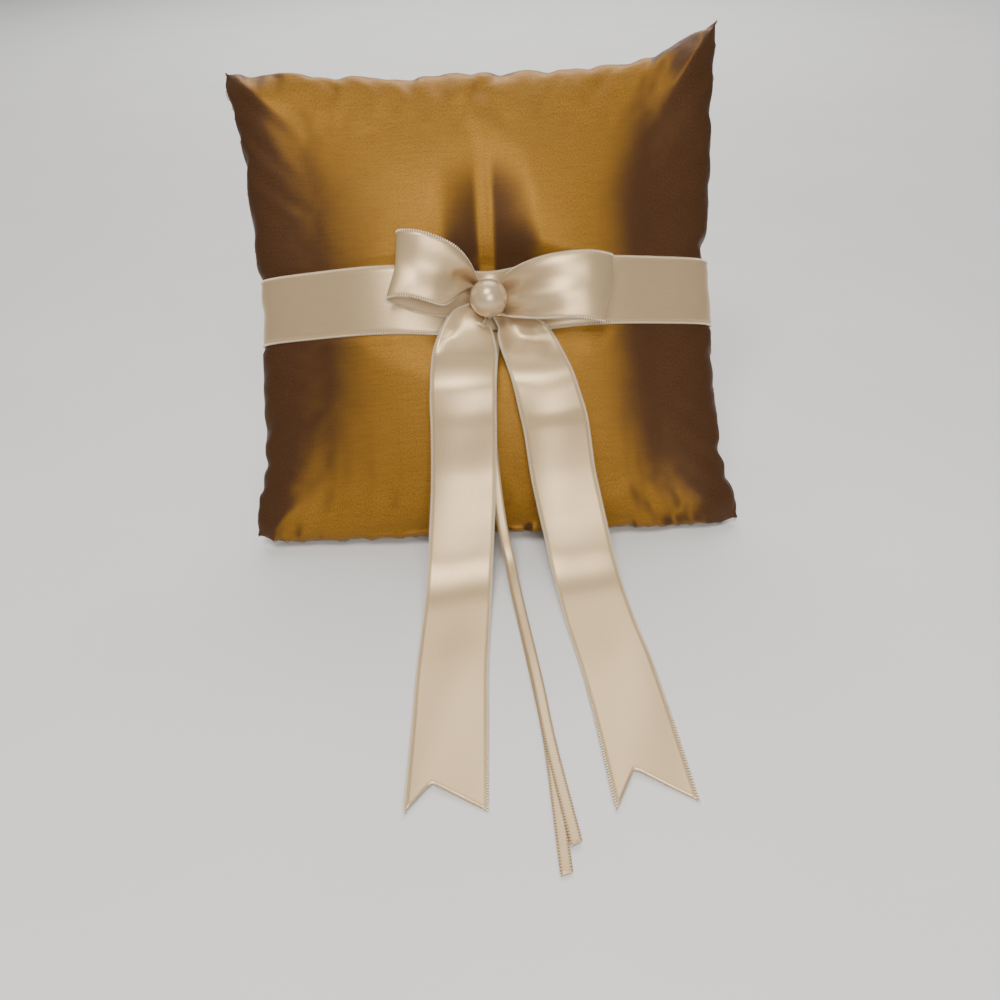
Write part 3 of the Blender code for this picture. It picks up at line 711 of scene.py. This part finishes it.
def to_size(shape, number):
    """Scale the simulated cover to the real one's width, height and crown."""
    centre = CELLS // 2
    u, rise, n = shape[:, 0].copy(), shape[:, 1].copy(), shape[:, 2].copy()
    u *= 2 * HALF_WIDTH / (u[number[1, CELLS, centre]] - u[number[1, 0, centre]])
    low, high = rise[number[1, centre, 0]], rise[number[1, centre, CELLS]]
    rise = (rise - (low + high) / 2) * 2 * HALF_HEIGHT / (high - low)
    n *= CROWN / n.max()
    return np.stack([u, rise, n], axis=1)


def blurred(grid, axis, reach=6):
    """Running mean of a grid along one of its axes."""
    padding = [(reach, reach) if k == axis else (0, 0) for k in (0, 1)]
    longer = np.pad(grid, padding, mode="reflect")
    kernel = np.ones(2 * reach + 1) / (2 * reach + 1)
    return np.apply_along_axis(lambda row: np.convolve(row, kernel, mode="valid"), axis, longer)


def puckers(heights, number):
    """The small folds that run in from the seams, without the slow shape under them."""
    share = np.abs(np.linspace(-1.0, 1.0, CELLS + 1))
    near = 1 - smooth_steps(0.0, 0.40, 1 - share)
    inside = 1 - smooth_steps(0.80, 0.97, share)
    folds = np.zeros_like(heights)
    for side in (1, -1):
        keys = [[number[side, i, j] for j in range(CELLS + 1)] for i in range(CELLS + 1)]
        grid = heights[np.array(keys)]
        over_top = (grid - blurred(grid, 0)) * near[None, :] * inside[:, None]
        over_side = (grid - blurred(grid, 1)) * near[:, None] * inside[None, :]
        folds[np.array(keys)] = 1.5 * over_top + over_side
    return folds


def eased(shape, even, number, sheet):
    """The even shape with the simulated seams and the folds that they pull into the cloth."""
    table = np.array([(a, b) for a, b, _, _ in sheet])
    from_seam = 1 - np.abs(table).max(axis=1)
    firm = smooth_steps(0.0, 0.30, from_seam)[:, None]
    mixed = shape * (1 - firm) + even * firm
    mixed[:, 2] = even[:, 2] + puckers(shape[:, 2], number)
    return mixed


def dressed(shape, number, sheet):
    """Set the seams, the ears and the folds around the centre stitch as a stuffed cover has them."""
    table = np.array([(a, b, side) for a, b, side, _ in sheet])
    a, b, side = table[:, 0], table[:, 1], table[:, 2]
    u, rise, n = shape[:, 0].copy(), shape[:, 1].copy(), shape[:, 2].copy()
    # The bottom seam stands on the floor, so it is straight.
    bottom = np.array([number[1, i, 0] for i in range(CELLS + 1)])
    drop = np.interp(a, a[bottom], rise[bottom] + HALF_HEIGHT)
    rise -= drop * (1 - smooth_steps(-1.0, -0.35, b))
    # The top right ear stands up, the bottom right one reaches out, the bottom left is tucked in.
    top_right = smooth_steps(0.55, 1.0, a) * smooth_steps(0.55, 1.0, b)
    rise += 0.0085 * top_right
    top_left = smooth_steps(0.7, 1.0, -a) * smooth_steps(0.7, 1.0, b)
    rise -= 0.004 * top_left
    low_left = smooth_steps(0.7, 1.0, -a) * smooth_steps(0.7, 1.0, -b)
    u += 0.003 * low_left
    rise += 0.002 * low_left
    n += 0.003 * low_left
    u = np.where(u > 0, u * RIGHT_SHARE, u)
    # Turned corners are blunt: the cloth inside them can't fill the point.
    blunt = smooth_steps(0.88, 1.0, np.abs(a)) * smooth_steps(0.88, 1.0, np.abs(b))
    u -= np.sign(a) * 0.0036 * blunt
    rise -= np.sign(b) * 0.0022 * blunt
    u -= 0.0020 * top_right
    # Folds that the centre stitch pulls into the front above it.
    front = side > 0
    climb = smooth_steps(0.004, 0.014, rise) * (1 - smooth_steps(0.036, 0.070, rise))
    reach = np.where(u < 0, 0.017, 0.021 - 0.15 * np.clip(rise - 0.02, 0.0, 0.04))
    slope = np.clip(1.04 - np.sqrt((u / reach) ** 2 + 0.0016), 0.0, 1.0)
    valley = 0.0062 * slope**1.25 * climb
    ridge = 0.0015 * np.exp(-((u + 0.0003) / 0.0009) ** 2) * climb
    n += np.where(front, ridge - valley, 0.0)
    return np.stack([u, rise, n], axis=1)


def softly_over(values, limit, softness):
    """Values kept above a limit, with a rounded start of the pressed part."""
    above = (values - limit) / softness
    return limit + softness * np.where(above > 8, above, np.log1p(np.exp(np.minimum(above, 8))))


CAD_FRONT = tree_of(frame["nodes"]["cover_front_panel"])


def surface_height(tree, u, rise, fallback=0.0):
    """Height n of the outermost surface over a place on the pillow."""
    hit = tree.ray_cast(place(u, rise, 0.08), -NORMAL)[0]
    return fallback if hit is None else to_pillow(hit)[2]


def under_ribbons(shape, sheet):
    """Keep the front no higher than the CAD cover where the tails and ties lie over it."""
    for k, (a, b, side, _) in enumerate(sheet):
        u, rise, n = shape[k]
        if side < 0 or abs(u) > 0.08 or rise > 0.0 or rise < -0.088:
            continue
        share = (1 - smoothstep(0.030, 0.080, abs(u))) * (1 - smoothstep(-0.020, 0.0, rise))
        limit = surface_height(CAD_FRONT, u, rise, n) + 0.0004
        if n > limit:
            shape[k, 2] = n + (limit - n) * share
    return shape


def cover():
    """The whole cover as one mesh, with a groove where its two panels are sewn together."""
    number, sheet = panel_grid()
    faces = panel_faces(number)
    even = even_shape(sheet)
    shape = to_size(simulated(number, sheet, faces), number)
    shape = dressed(eased(shape, even, number, sheet), number, sheet)
    shape = under_ribbons(shape, sheet)
    shape[:, 2] = softly_over(shape[:, 2], -BACK_DEPTH, 0.0006)
    ring = [(i, 0) for i in range(CELLS)] + [(CELLS, j) for j in range(CELLS)]
    ring += [(i, CELLS) for i in range(CELLS, 0, -1)] + [(0, j) for j in range(CELLS, 0, -1)]
    lip = 0.0005
    groove_depth = 0.0009
    spots = [Vector(p) for p in shape]
    edge_of = {}
    extra = []
    for i, j in ring:
        k = number[1, i, j]
        inner = Vector(shape[number[1, min(max(i, 1), CELLS - 1), min(max(j, 1), CELLS - 1)]])
        edge = spots[k].copy()
        inward = Vector((inner.x - edge.x, inner.y - edge.y, 0.0)).normalized()
        spots[k] = edge + Vector((0.0, 0.0, lip))
        back = len(spots) + len(extra)
        extra.append(edge - Vector((0.0, 0.0, lip)))
        extra.append(edge + inward * groove_depth)
        edge_of[k] = (back, back + 1)
    spots += extra
    kept = []
    for f, face in enumerate(faces):
        if f >= len(faces) // 2:
            face = [edge_of[k][0] if k in edge_of else k for k in face]
        kept.append(face)
    keys = [number[1, i, j] for i, j in ring]
    for first, second in zip(keys, keys[1:] + keys[:1]):
        back_first, groove_first = edge_of[first]
        back_second, groove_second = edge_of[second]
        kept.append([second, first, groove_first, groove_second])
        kept.append([groove_second, groove_first, back_first, back_second])
    world = []
    for u, rise, n in spots:
        point = place(u, rise, n)
        point.z = float(softly_over(np.array([point.z]), 0.0002, 0.0004)[0])
        world.append(point)
    mesh = mesh_data("pillow_cover", world, kept)
    layer = mesh.uv_layers.new(name="threads")
    flat = {}
    for (side, i, j), k in number.items():
        flat.setdefault(k, (i * PANEL / CELLS, j * PANEL / CELLS))
    for k, (back, groove) in edge_of.items():
        flat[back] = flat[groove] = flat[k]
    for face in mesh.polygons:
        away = UV_STEP * PANEL if len(faces) // 2 <= face.index < len(faces) else 0.0
        for loop in face.loop_indices:
            x, y = flat[mesh.loops[loop].vertex_index]
            layer.data[loop].uv = (x + away, y)
    item = new_object("pillow_cover", mesh, taffeta_finish)
    fine = item.modifiers.new("fine", "SUBSURF")
    fine.levels = fine.render_levels = 1
    finished(item)
    seam = [world[edge_of[k][1]] for k in keys]
    return item, seam


pillow_cover, seam_line = cover()


# The band.


BAND_STEPS = 260
BAND_ROWS = 13
BAND_LIFT = 0.0022  # how far the band's ends sit above the middle of the cover
FLATTEN = CROWN / HALF_WIDTH


def band_rise(u):
    """Rise of the band's middle line, which the bow pulls down a little."""
    return BAND_LIFT * (1 - math.exp(-((u / 0.03) ** 2)))


def band_profile(tree, share):
    """Distance from the pillow's axis to its skin, at each angle around the band."""
    reach = []
    for k in range(BAND_STEPS):
        angle = 2 * math.pi * k / BAND_STEPS
        ray = Vector((math.cos(angle), FLATTEN * math.sin(angle)))
        far = 0.12
        rise = band_rise(ray.x * 0.06) + share * RIBBON / 2
        start = place(ray.x * far, rise, ray.y * far)
        heading = (place(0.0, rise, 0.0) - start).normalized()
        hit = tree.ray_cast(start, heading)[0]
        u, _, n = to_pillow(hit)
        reach.append(math.hypot(u, n / FLATTEN))
    return np.array(reach)


def rounded(values, spread):
    """Smooth a closed list of numbers with a bell of that spread in steps."""
    size = int(3 * spread)
    weights = np.exp(-0.5 * (np.arange(-size, size + 1) / spread) ** 2)
    weights /= weights.sum()
    longer = np.concatenate([values[-size:], values, values[:size]])
    return np.convolve(longer, weights, mode="valid")


def band_shape(tree):
    """Reach of the band at each share of its width and angle."""
    shares = np.linspace(-1.0, 1.0, BAND_ROWS)
    raw = np.array([band_profile(tree, share) for share in shares])
    table = np.array([rounded(row, 3.0) for row in raw])
    middle = table.mean(axis=0)
    table = 0.45 * table + 0.55 * middle
    angles = 2 * np.pi * np.arange(BAND_STEPS) / BAND_STEPS
    return table - 0.0016 * np.abs(np.sin(angles))


def band_reach(table, share, turn):
    """The band's reach at a share of its width and a number of steps around it."""
    row = (share + 1) / 2 * (BAND_ROWS - 1)
    low = min(int(row), BAND_ROWS - 2)
    k = math.floor(turn) % BAND_STEPS
    after = (k + 1) % BAND_STEPS
    part = turn - math.floor(turn)
    first, second = [table[low + s, k] * (1 - part) + table[low + s, after] * part for s in (0, 1)]
    return first + (second - first) * (row - low)


def band_point(table, share, turn, offset):
    """World place over the band at a share of its width and a number of steps around it."""
    reach = band_reach(table, share, turn)
    angle = 2 * math.pi * turn / BAND_STEPS
    u = math.cos(angle) * reach
    n = FLATTEN * math.sin(angle) * reach
    out = Vector((math.cos(angle) * FLATTEN, math.sin(angle))).normalized()
    rise = band_rise(u) + share * RIBBON / 2
    return place(u + out.x * offset, rise, n + out.y * offset)


BAND_START = 0.800 * BAND_STEPS  # where the band begins on the back, in steps around it
BAND_LAP = 5  # steps that the band's end runs on over its beginning
BAND_BASE = 0.0005


def waist_band(table):
    """The band, once around and lapped over its own end on the back."""
    rows, uvs = [], []
    far = 0.0
    last = None
    shares = np.linspace(-1.0, 1.0, BAND_ROWS)
    for k in range(BAND_STEPS + BAND_LAP + 1):
        lapped = smoothstep(BAND_STEPS - 4, BAND_STEPS - 1, k)
        offset = BAND_BASE + 0.0006 * lapped
        row = [band_point(table, share, BAND_START - k, offset) for share in shares]
        if last is not None:
            far += (row[BAND_ROWS // 2] - last).length
        last = row[BAND_ROWS // 2]
        rows.append(row)
        uvs.append([(share * RIBBON / 2, far) for share in shares])
    band = strip("satin_band", rows, uvs, reverse_finish, ribbon_finish)
    settle(band, "satin_ribbon", "waist_band")
    return band


def press_under_band(item, table):
    """Push the cover in under the band, with a soft shoulder on each side of it."""
    for vertex in item.data.vertices:
        u, rise, n = to_pillow(vertex.co)
        off = abs(rise - band_rise(u))
        if off > RIBBON / 2 + 0.012:
            continue
        share = max(-1.0, min(1.0, (rise - band_rise(u)) / (RIBBON / 2)))
        turn = (math.atan2(n / FLATTEN, u) / (2 * math.pi) * BAND_STEPS) % BAND_STEPS
        limit = band_reach(table, share, turn)
        reach = math.hypot(u, n / FLATTEN)
        if reach < 1e-6:
            continue
        beyond = max(0.0, off - RIBBON / 2 - 0.0006) / 0.006
        allowed = limit + 0.010 * beyond * beyond
        excess = reach - allowed
        if excess > 0:
            pull = math.exp(-beyond * beyond)
            scale = (reach - excess * pull) / reach
            vertex.co = place(u * scale, rise, n * scale)
    item.data.update()


band_table = band_shape(tree_of(pillow_cover))
press_under_band(pillow_cover, band_table)
satin_band = waist_band(band_table)

settle(pillow_cover, "cover_taffeta", "cover_front_panel", "cover_back_panel", "fibrefill_core")
RIBBON_BED = (tree_of(pillow_cover), tree_of(satin_band))


# Threads.


def spun(name, line, material, pitch, step):
    """A thread of two plies twisted round each other along a line of points."""
    count = max(4, int(line_length(line) / step))
    path = resample(line, count)
    sides = 6
    verts, faces = [], []
    up = Vector((0.0, 0.0, 1.0))
    for ply in (0, 1):
        base = len(verts)
        for k, point in enumerate(path):
            along = direction(path, k)
            first = along.cross(up)
            if first.length < 1e-3:
                first = along.cross(ACROSS)
            first.normalize()
            second = along.cross(first)
            turn = 2 * math.pi * (k * step / pitch) + math.pi * ply
            centre = point + (first * math.cos(turn) + second * math.sin(turn)) * THREAD * 0.48
            for s in range(sides):
                angle = 2 * math.pi * s / sides
                verts.append(centre + (first * math.cos(angle) + second * math.sin(angle)) * THREAD * 0.55)
        for k in range(len(path) - 1):
            for s in range(sides):
                after = (s + 1) % sides
                low, high = base + k * sides, base + (k + 1) * sides
                faces.append((low + s, low + after, high + after, high + s))
        faces.append([base + s for s in reversed(range(sides))])
        faces.append([base + (len(path) - 1) * sides + s for s in range(sides)])
    return new_object(name, mesh_data(name, verts, faces), material)


def sewn_seam():
    """The machine seam in the groove, open along the filling slit, and the slit's hand stitches."""
    slit = int(CELLS * 0.3), int(CELLS * 0.7)
    around = seam_line[slit[1]:] + seam_line[:slit[0] + 1]
    seam = spun("seam_stitching", around, brown_finish, 0.0014, 0.0007)
    settle(seam, "brown_thread", "seam_thread")
    closing = []
    for k, point in enumerate(seam_line[slit[0]: slit[1] + 1]):
        up, out = (0.0001, 0.0003) if k % 2 else (-0.0004, -0.0003)
        closing.append(point + UP * up + NORMAL * out)
    whip = spun("closing_stitches", closing, brown_finish, 0.0014, 0.0005)
    settle(whip, "brown_thread", "closing_thread")


def band_whipping():
    """Stitches over the band's lapped end on the back."""
    end = BAND_START - BAND_STEPS - BAND_LAP
    line = []
    stitches = 14
    for k in range(stitches * 2 + 1):
        share = 0.88 * (k / stitches - 1)
        turn = end + (0.45 if k % 2 else -0.25)
        offset = BAND_BASE + (0.0012 if k % 2 else 0.0006)
        line.append(band_point(band_table, share, turn, offset))
    item = spun("band_whipping", line, cream_finish, 0.0012, 0.0003)
    settle(item, "cream_thread", "band_stitches")


sewn_seam()
band_whipping()


# The bow.


BAND_TOP = BAND_BASE + RIBBON_THICKNESS
SOFT_FRONT = {}


def front_height(u, rise):
    """Height of the CAD front, averaged so that the ribbons over it don't copy its facets."""
    key = (round(u, 5), round(rise, 5))
    if key not in SOFT_FRONT:
        heights = []
        for du, dr in ((0, 0), (0.004, 0), (-0.004, 0), (0, 0.004), (0, -0.004)):
            heights.append(surface_height(CAD_FRONT, u + du, rise + dr))
        SOFT_FRONT[key] = sum(heights) / len(heights)
    return SOFT_FRONT[key]


def on_front(u, rise, height):
    """World place above the front, all in millimetres."""
    u, rise = u * MM, rise * MM
    return place(u, rise, front_height(u, rise) + BAND_TOP + height * MM)


def rested(point, gap=0.0007):
    """A ribbon's point, kept a little above the band and the cover that it lies over."""
    u, rise, n = to_pillow(point)
    bed = max(surface_height(tree, u, rise, -1.0) for tree in RIBBON_BED)
    return place(u, rise, float(softly_over(np.array([n]), bed + gap, 0.0003)[0]))


def bow_loop(name, node, low, high, faces, bulge, pleats):
    """A loop of the bow between its two edges, bowed between them and pleated where it is gathered."""
    spans, columns = 9, 17
    low_line = catmull([on_front(*p) for p in low], spans)
    high_line = catmull([on_front(*p) for p in high], spans)
    middle = [(a + b) / 2 for a, b in zip(low_line, high_line)]
    reached = np.concatenate(([0.0], np.cumsum([(b - a).length for a, b in zip(middle, middle[1:])])))
    rows, uvs = [], []
    for k, (first, second) in enumerate(zip(low_line, high_line)):
        face = direction(middle, k).cross(second - first).normalized()
        slack = max(0.0, RIBBON - (second - first).length)
        bow = bulge * math.sin(math.pi * (k / (len(middle) - 1)))
        row = []
        for c in range(columns):
            share = c / (columns - 1)
            hump = 4 * share * (1 - share)
            fold = math.sin(2 * math.pi * pleats * share) * min(0.0020, slack * 0.22)
            row.append(rested(first.lerp(second, share) + face * (bow * hump + fold)))
        rows.append(row)
        uvs.append([(RIBBON * (c / (columns - 1) - 0.5), reached[k]) for c in range(columns)])
    item = strip(name, rows, uvs, *faces)
    settle(item, "satin_ribbon", node)


# Each loop's edges, from the knot out along the band and back over it: (u, rise, height) in
# millimetres over the front.
LEFT_LOW = (
    (-4, -3, 0.8), (-9, -4, 1.0), (-17, -5, 1.2), (-27, -3.5, 1.6), (-35, -0.5, 3.0), (-38.0, 0.6, 6.0),
    (-36.4, 1.2, 9.0), (-29, 0.9, 10.5), (-22, -1.0, 11.0), (-16.5, -2.0, 10.5), (-12, 1.5, 9.5),
    (-8.5, 5.0, 7.5), (-5.0, 5.5, 5.0),
)
LEFT_HIGH = (
    (-4, 3, 0.8), (-9, 11, 1.0), (-17, 17, 1.2), (-26, 21, 2.0), (-30.5, 23.3, 3.5), (-32.4, 24.2, 6.5),
    (-31.2, 24.4, 9.5), (-24.5, 23.4, 11.5), (-17, 21.0, 12.0), (-11.0, 18.0, 11.5), (-7.0, 14.0, 10.0),
    (-4.8, 10.0, 7.5), (-3.5, 7.5, 5.0),
)
RIGHT_LOW = (
    (4, -3, 0.8), (9, -5.5, 1.0), (17, -7.2, 1.2), (27, -8.2, 1.4), (36, -9.0, 2.2), (42, -10.2, 4.5),
    (41.8, -10.8, 7.2), (35.3, -9.8, 9.0), (27, -9.2, 10.0), (17.7, -8.6, 10.0), (11, -7.3, 9.0),
    (6.6, -6.0, 7.0), (4.0, -4.5, 5.0),
)
RIGHT_HIGH = (
    (4, 3, 0.8), (9, 8, 1.0), (17, 11, 1.2), (27, 13.5, 1.4), (38, 14, 2.2), (46, 13.2, 4.5),
    (45.5, 13.5, 7.2), (38, 14.2, 9.5), (28, 14, 10.0), (19, 13, 10.0), (11, 11, 9.0),
    (6.5, 8.3, 7.5), (4.5, 5.5, 5.5),
)

bow_loop("left_loop", "bow_loop_left", LEFT_LOW, LEFT_HIGH, (reverse_finish, ribbon_finish),
         bulge=-0.0012, pleats=1.5)
bow_loop("right_loop", "bow_loop_right", RIGHT_LOW, RIGHT_HIGH, (ribbon_finish, reverse_finish),
         bulge=-0.0010, pleats=2.0)


def gathered_middle():
    """The pinched middle of the bow: a pleated bundle, waisted under its binding."""
    half_across = (GATHER_HIGH.x - GATHER_LOW.x) / 2
    half_up, half_out = 0.0060, 0.0020
    steps, sides = 24, 72
    rows, uvs = [], []
    for k in range(steps + 1):
        t = 2 * k / steps - 1
        swell = 0.80 + 0.20 * t * t
        close = math.sqrt(max(0.0, 1 - t**6))
        row, uv = [], []
        for s in range(sides + 1):
            angle = 2 * math.pi * s / sides
            pleat = 1 + 0.10 * math.sin(11 * angle + 0.7) + 0.05 * math.sin(5 * angle)
            up = half_up * swell * close * pleat * math.cos(angle)
            out = half_out * swell * close * pleat * math.sin(angle)
            row.append(GATHER + ACROSS * (t * half_across) + UP * up + NORMAL * out)
            uv.append((RIBBON * (s / sides - 0.5), (t + 1) * half_across))
        rows.append(row)
        uvs.append(uv)
    item = strip("bow_pinch", rows, uvs, ribbon_finish, reverse_finish, thickness=0.0002, edged=False)
    settle(item, "satin_ribbon", "bow_gather")


def binding():
    """Two turns of thread around the pinched middle."""
    line = []
    turns, steps = 2, 40
    half_up, half_out = 0.0062, 0.0023
    for k in range(turns * steps + 1):
        angle = 2 * math.pi * k / steps
        shift = 0.0007 * (k / steps - turns / 2)
        around = UP * (half_up * math.cos(angle)) + NORMAL * (half_out * math.sin(angle))
        line.append(GATHER + ACROSS * shift + around)
    item = spun("binding_turns", line, cream_finish, 0.0012, 0.0003)
    settle(item, "cream_thread", "binding_thread")


def pearl():
    """The bead, turned from a fine profile, with its drilled ends."""
    bore = 0.0006
    steps, turns = 48, 72
    first = math.asin(bore / BEAD_RADIUS)
    profile = [(bore, BEAD_RADIUS * 0.80)]
    for k in range(steps + 1):
        angle = first + (math.pi - 2 * first) * k / steps
        profile.append((BEAD_RADIUS * math.sin(angle), BEAD_RADIUS * math.cos(angle)))
    profile.append((bore, -BEAD_RADIUS * 0.80))
    verts, faces = [], []
    for r, high in profile:
        for s in range(turns):
            angle = 2 * math.pi * s / turns
            around = ACROSS * (r * math.cos(angle)) + NORMAL * (r * math.sin(angle))
            verts.append(BEAD + around + UP * high)
    rings = len(profile)
    for k in range(rings):
        low, high = k * turns, (k + 1) % rings * turns
        for s in range(turns):
            after = (s + 1) % turns
            faces.append((low + s, low + after, high + after, high + s))
    mesh = mesh_data("pearl", verts, faces)
    build = bmesh.new()
    build.from_mesh(mesh)
    bmesh.ops.recalc_face_normals(build, faces=build.faces)
    build.to_mesh(mesh)
    build.free()
    item = new_object("pearl", mesh, nacre_finish)
    settle(item, "pearl_nacre", "pearl_bead")


def pearl_stitch():
    """The thread that holds the bead: out of the pinch, through the bead and back in."""
    over = BEAD_RADIUS + 0.0002
    line = [
        GATHER + UP * 0.0048, BEAD + UP * 0.0060 - NORMAL * 0.0052, BEAD + UP * over - NORMAL * 0.0012,
        BEAD + UP * over, BEAD + UP * (over - 0.0012), BEAD - UP * (over - 0.0012), BEAD - UP * over,
        BEAD - UP * over - NORMAL * 0.0012, BEAD - UP * 0.0060 - NORMAL * 0.0052, GATHER - UP * 0.0048,
    ]
    item = spun("pearl_stitch", catmull(line, 6), cream_finish, 0.0012, 0.0003)
    settle(item, "cream_thread", "pearl_thread")


gathered_middle()
binding()
pearl()
pearl_stitch()


# The tails.


def tail(name, stations, floor_points, cuts, cup, root_gap=0.0):
    """A tail: stations are (u, rise, half width, height) in millimetres down the front.

    The root gap lifts its first part further off the ribbons below it.
    """
    route = [on_front(u, rise, height) for u, rise, _, height in stations]
    halves = [half * MM for _, _, half, _ in stations] + [RIBBON_EDGE] * len(floor_points)
    route += floor_points
    keyed = [Vector((*p, half)) for p, half in zip(route, halves)]
    spots = resample(catmull(keyed, 12), 130)
    line = [Vector(p[:3]) for p in spots]
    total = line_length(line)
    columns = 17
    rows, uvs = [], []
    for k, spot in enumerate(spots):
        t = k / (len(spots) - 1)
        sideways = side_of(line, k)
        face = sideways.cross(direction(line, k)) * -1
        row, uv = [], []
        for c in range(columns):
            share = 2 * c / (columns - 1) - 1
            back = np.interp(share, [x for x, _ in cuts], [y for _, y in cuts])
            late = smoothstep(0.82, 1.0, t)
            bow = cup(t) * (1 - share * share)
            ripple = 0.0005 * math.sin(9 * t + 2.1 * share) * smoothstep(0.1, 0.3, t)
            point = line[k] + sideways * (share * spot[3]) + face * (bow + ripple)
            gap = 0.0010 + root_gap * (1 - smoothstep(0.04, 0.14, t))
            point = rested(point - direction(line, k) * (back * late), gap)
            point.z = max(point.z, 0.0004)
            row.append(point)
            uv.append((share * RIBBON / 2, t * total - back * late))
        rows.append(row)
        uvs.append(uv)
    item = strip(name + "_satin", rows, uvs, reverse_finish, ribbon_finish)
    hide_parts(name)
    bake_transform(item)


# Each tail's stations down the front, then its middle line from the cover's foot to the floor.
LEFT_STATIONS = (
    (-4.8, -3.6, 4.5, 4.6), (-8.3, -6.9, 6.8, 4.6), (-8.9, -11.0, 9.6, 4.2),
    (-9.9, -19.5, 11.9, 3.6), (-10.5, -26.0, 12.1, 4.4), (-11.0, -33.0, 12.1, 5.4),
    (-11.4, -41.0, 12.1, 4.8), (-11.7, -50.0, 12.1, 3.8),
)
LEFT_FLOOR = points(
    (-0.0126, -0.0125, 0.0360), (-0.0134, -0.0190, 0.0270), (-0.0145, -0.0260, 0.0180),
    (-0.0155, -0.0350, 0.0090), (-0.0165, -0.0460, 0.0035), (-0.0175, -0.0600, 0.0012),
    (-0.0185, -0.0800, 0.0008), (-0.0188, -0.1030, 0.0008), (-0.0193, -0.1300, 0.0008),
)
RIGHT_STATIONS = (
    (4.5, -3.0, 4.0, 2.0), (8.5, -7.6, 6.0, 3.0), (10.6, -11.0, 8.4, 3.4),
    (13.0, -15.0, 10.0, 3.6), (15.6, -21.0, 10.6, 3.6), (18.9, -31.0, 11.2, 5.0),
    (21.6, -42.0, 11.8, 4.4), (23.4, -50.0, 12.1, 3.4),
)
RIGHT_FLOOR = points(
    (0.0252, -0.0125, 0.0350), (0.0270, -0.0185, 0.0260), (0.0290, -0.0250, 0.0170),
    (0.0310, -0.0340, 0.0085), (0.0330, -0.0450, 0.0033), (0.0350, -0.0600, 0.0012),
    (0.0380, -0.0800, 0.0008), (0.0402, -0.1030, 0.0008), (0.0422, -0.1310, 0.0008),
)


def left_cup(t):
    """The left tail is a little arched across, less and less towards its end."""
    return 0.0012 * (1 - t)


def right_cup(t):
    """The right tail is scooped below the pearl and a little arched further down."""
    scoop = 0.0026 * math.exp(-(((t - 0.075) / 0.035) ** 2))
    return 0.0018 * (1 - t) * smoothstep(0.12, 0.25, t) - scoop


# A swallow tail's cut is (share of the half width, distance back) at its points and its notch.
LEFT_CUT = ((-1.0, 0.0), (-0.4, 0.009), (1.0, 0.0))
RIGHT_CUT = ((-1.0, 0.0), (-0.35, 0.012), (1.0, 0.0))
tail("bow_tail_left", LEFT_STATIONS, LEFT_FLOOR, LEFT_CUT, left_cup,
     root_gap=0.0024)
tail("bow_tail_right", RIGHT_STATIONS, RIGHT_FLOOR, RIGHT_CUT, right_cup)


# Floor and lights.


def make_floor():
    """The plain pale floor."""
    half, level = 3.0, -0.0003
    corners = [(x * half, y * half, level) for x, y in ((-1, -1), (1, -1), (1, 1), (-1, 1))]
    ground = new_object("floor", mesh_data("floor", corners, [(0, 1, 2, 3)]), floor_finish())


def soft_light(name, location, target, size, power, colour):
    """A square soft light aimed at a point."""
    data = bpy.data.lights.new(name, "AREA")
    data.shape = "SQUARE"
    data.size = size
    data.energy = power
    data.color = colour
    lamp = bpy.data.objects.new(name, data)
    bpy.context.scene.collection.objects.link(lamp)
    lamp.location = location
    aim = Vector(target) - Vector(location)
    lamp.rotation_euler = aim.to_track_quat("-Z", "Y").to_euler()


def make_lights():
    """A soft key overhead, a soft light in front, one behind and one for the far floor."""
    soft_light("key", (-0.12, -0.33, 0.88), (0.0, 0.0, 0.06), 0.38, 7.0, (1.0, 0.97, 0.93))
    soft_light("top", (0.10, 1.00, 1.30), (0.0, 0.30, 0.0), 1.2, 16.0, (1.0, 0.98, 0.95))
    soft_light("front", (0.12, -0.80, 0.50), (0.0, 0.0, 0.05), 0.45, 6.0, (1.0, 0.98, 0.96))
    soft_light("far", (0.0, 2.2, 1.6), (0.0, 2.6, 0.0), 2.0, 55.0, (1.0, 1.0, 1.0))
    world = bpy.data.worlds.new("studio")
    world.use_nodes = True
    world.node_tree.nodes["Background"].inputs["Color"].default_value = (0.88, 0.88, 0.9, 1.0)
    world.node_tree.nodes["Background"].inputs["Strength"].default_value = 0.28
    bpy.context.scene.world = world


make_floor()
make_lights()
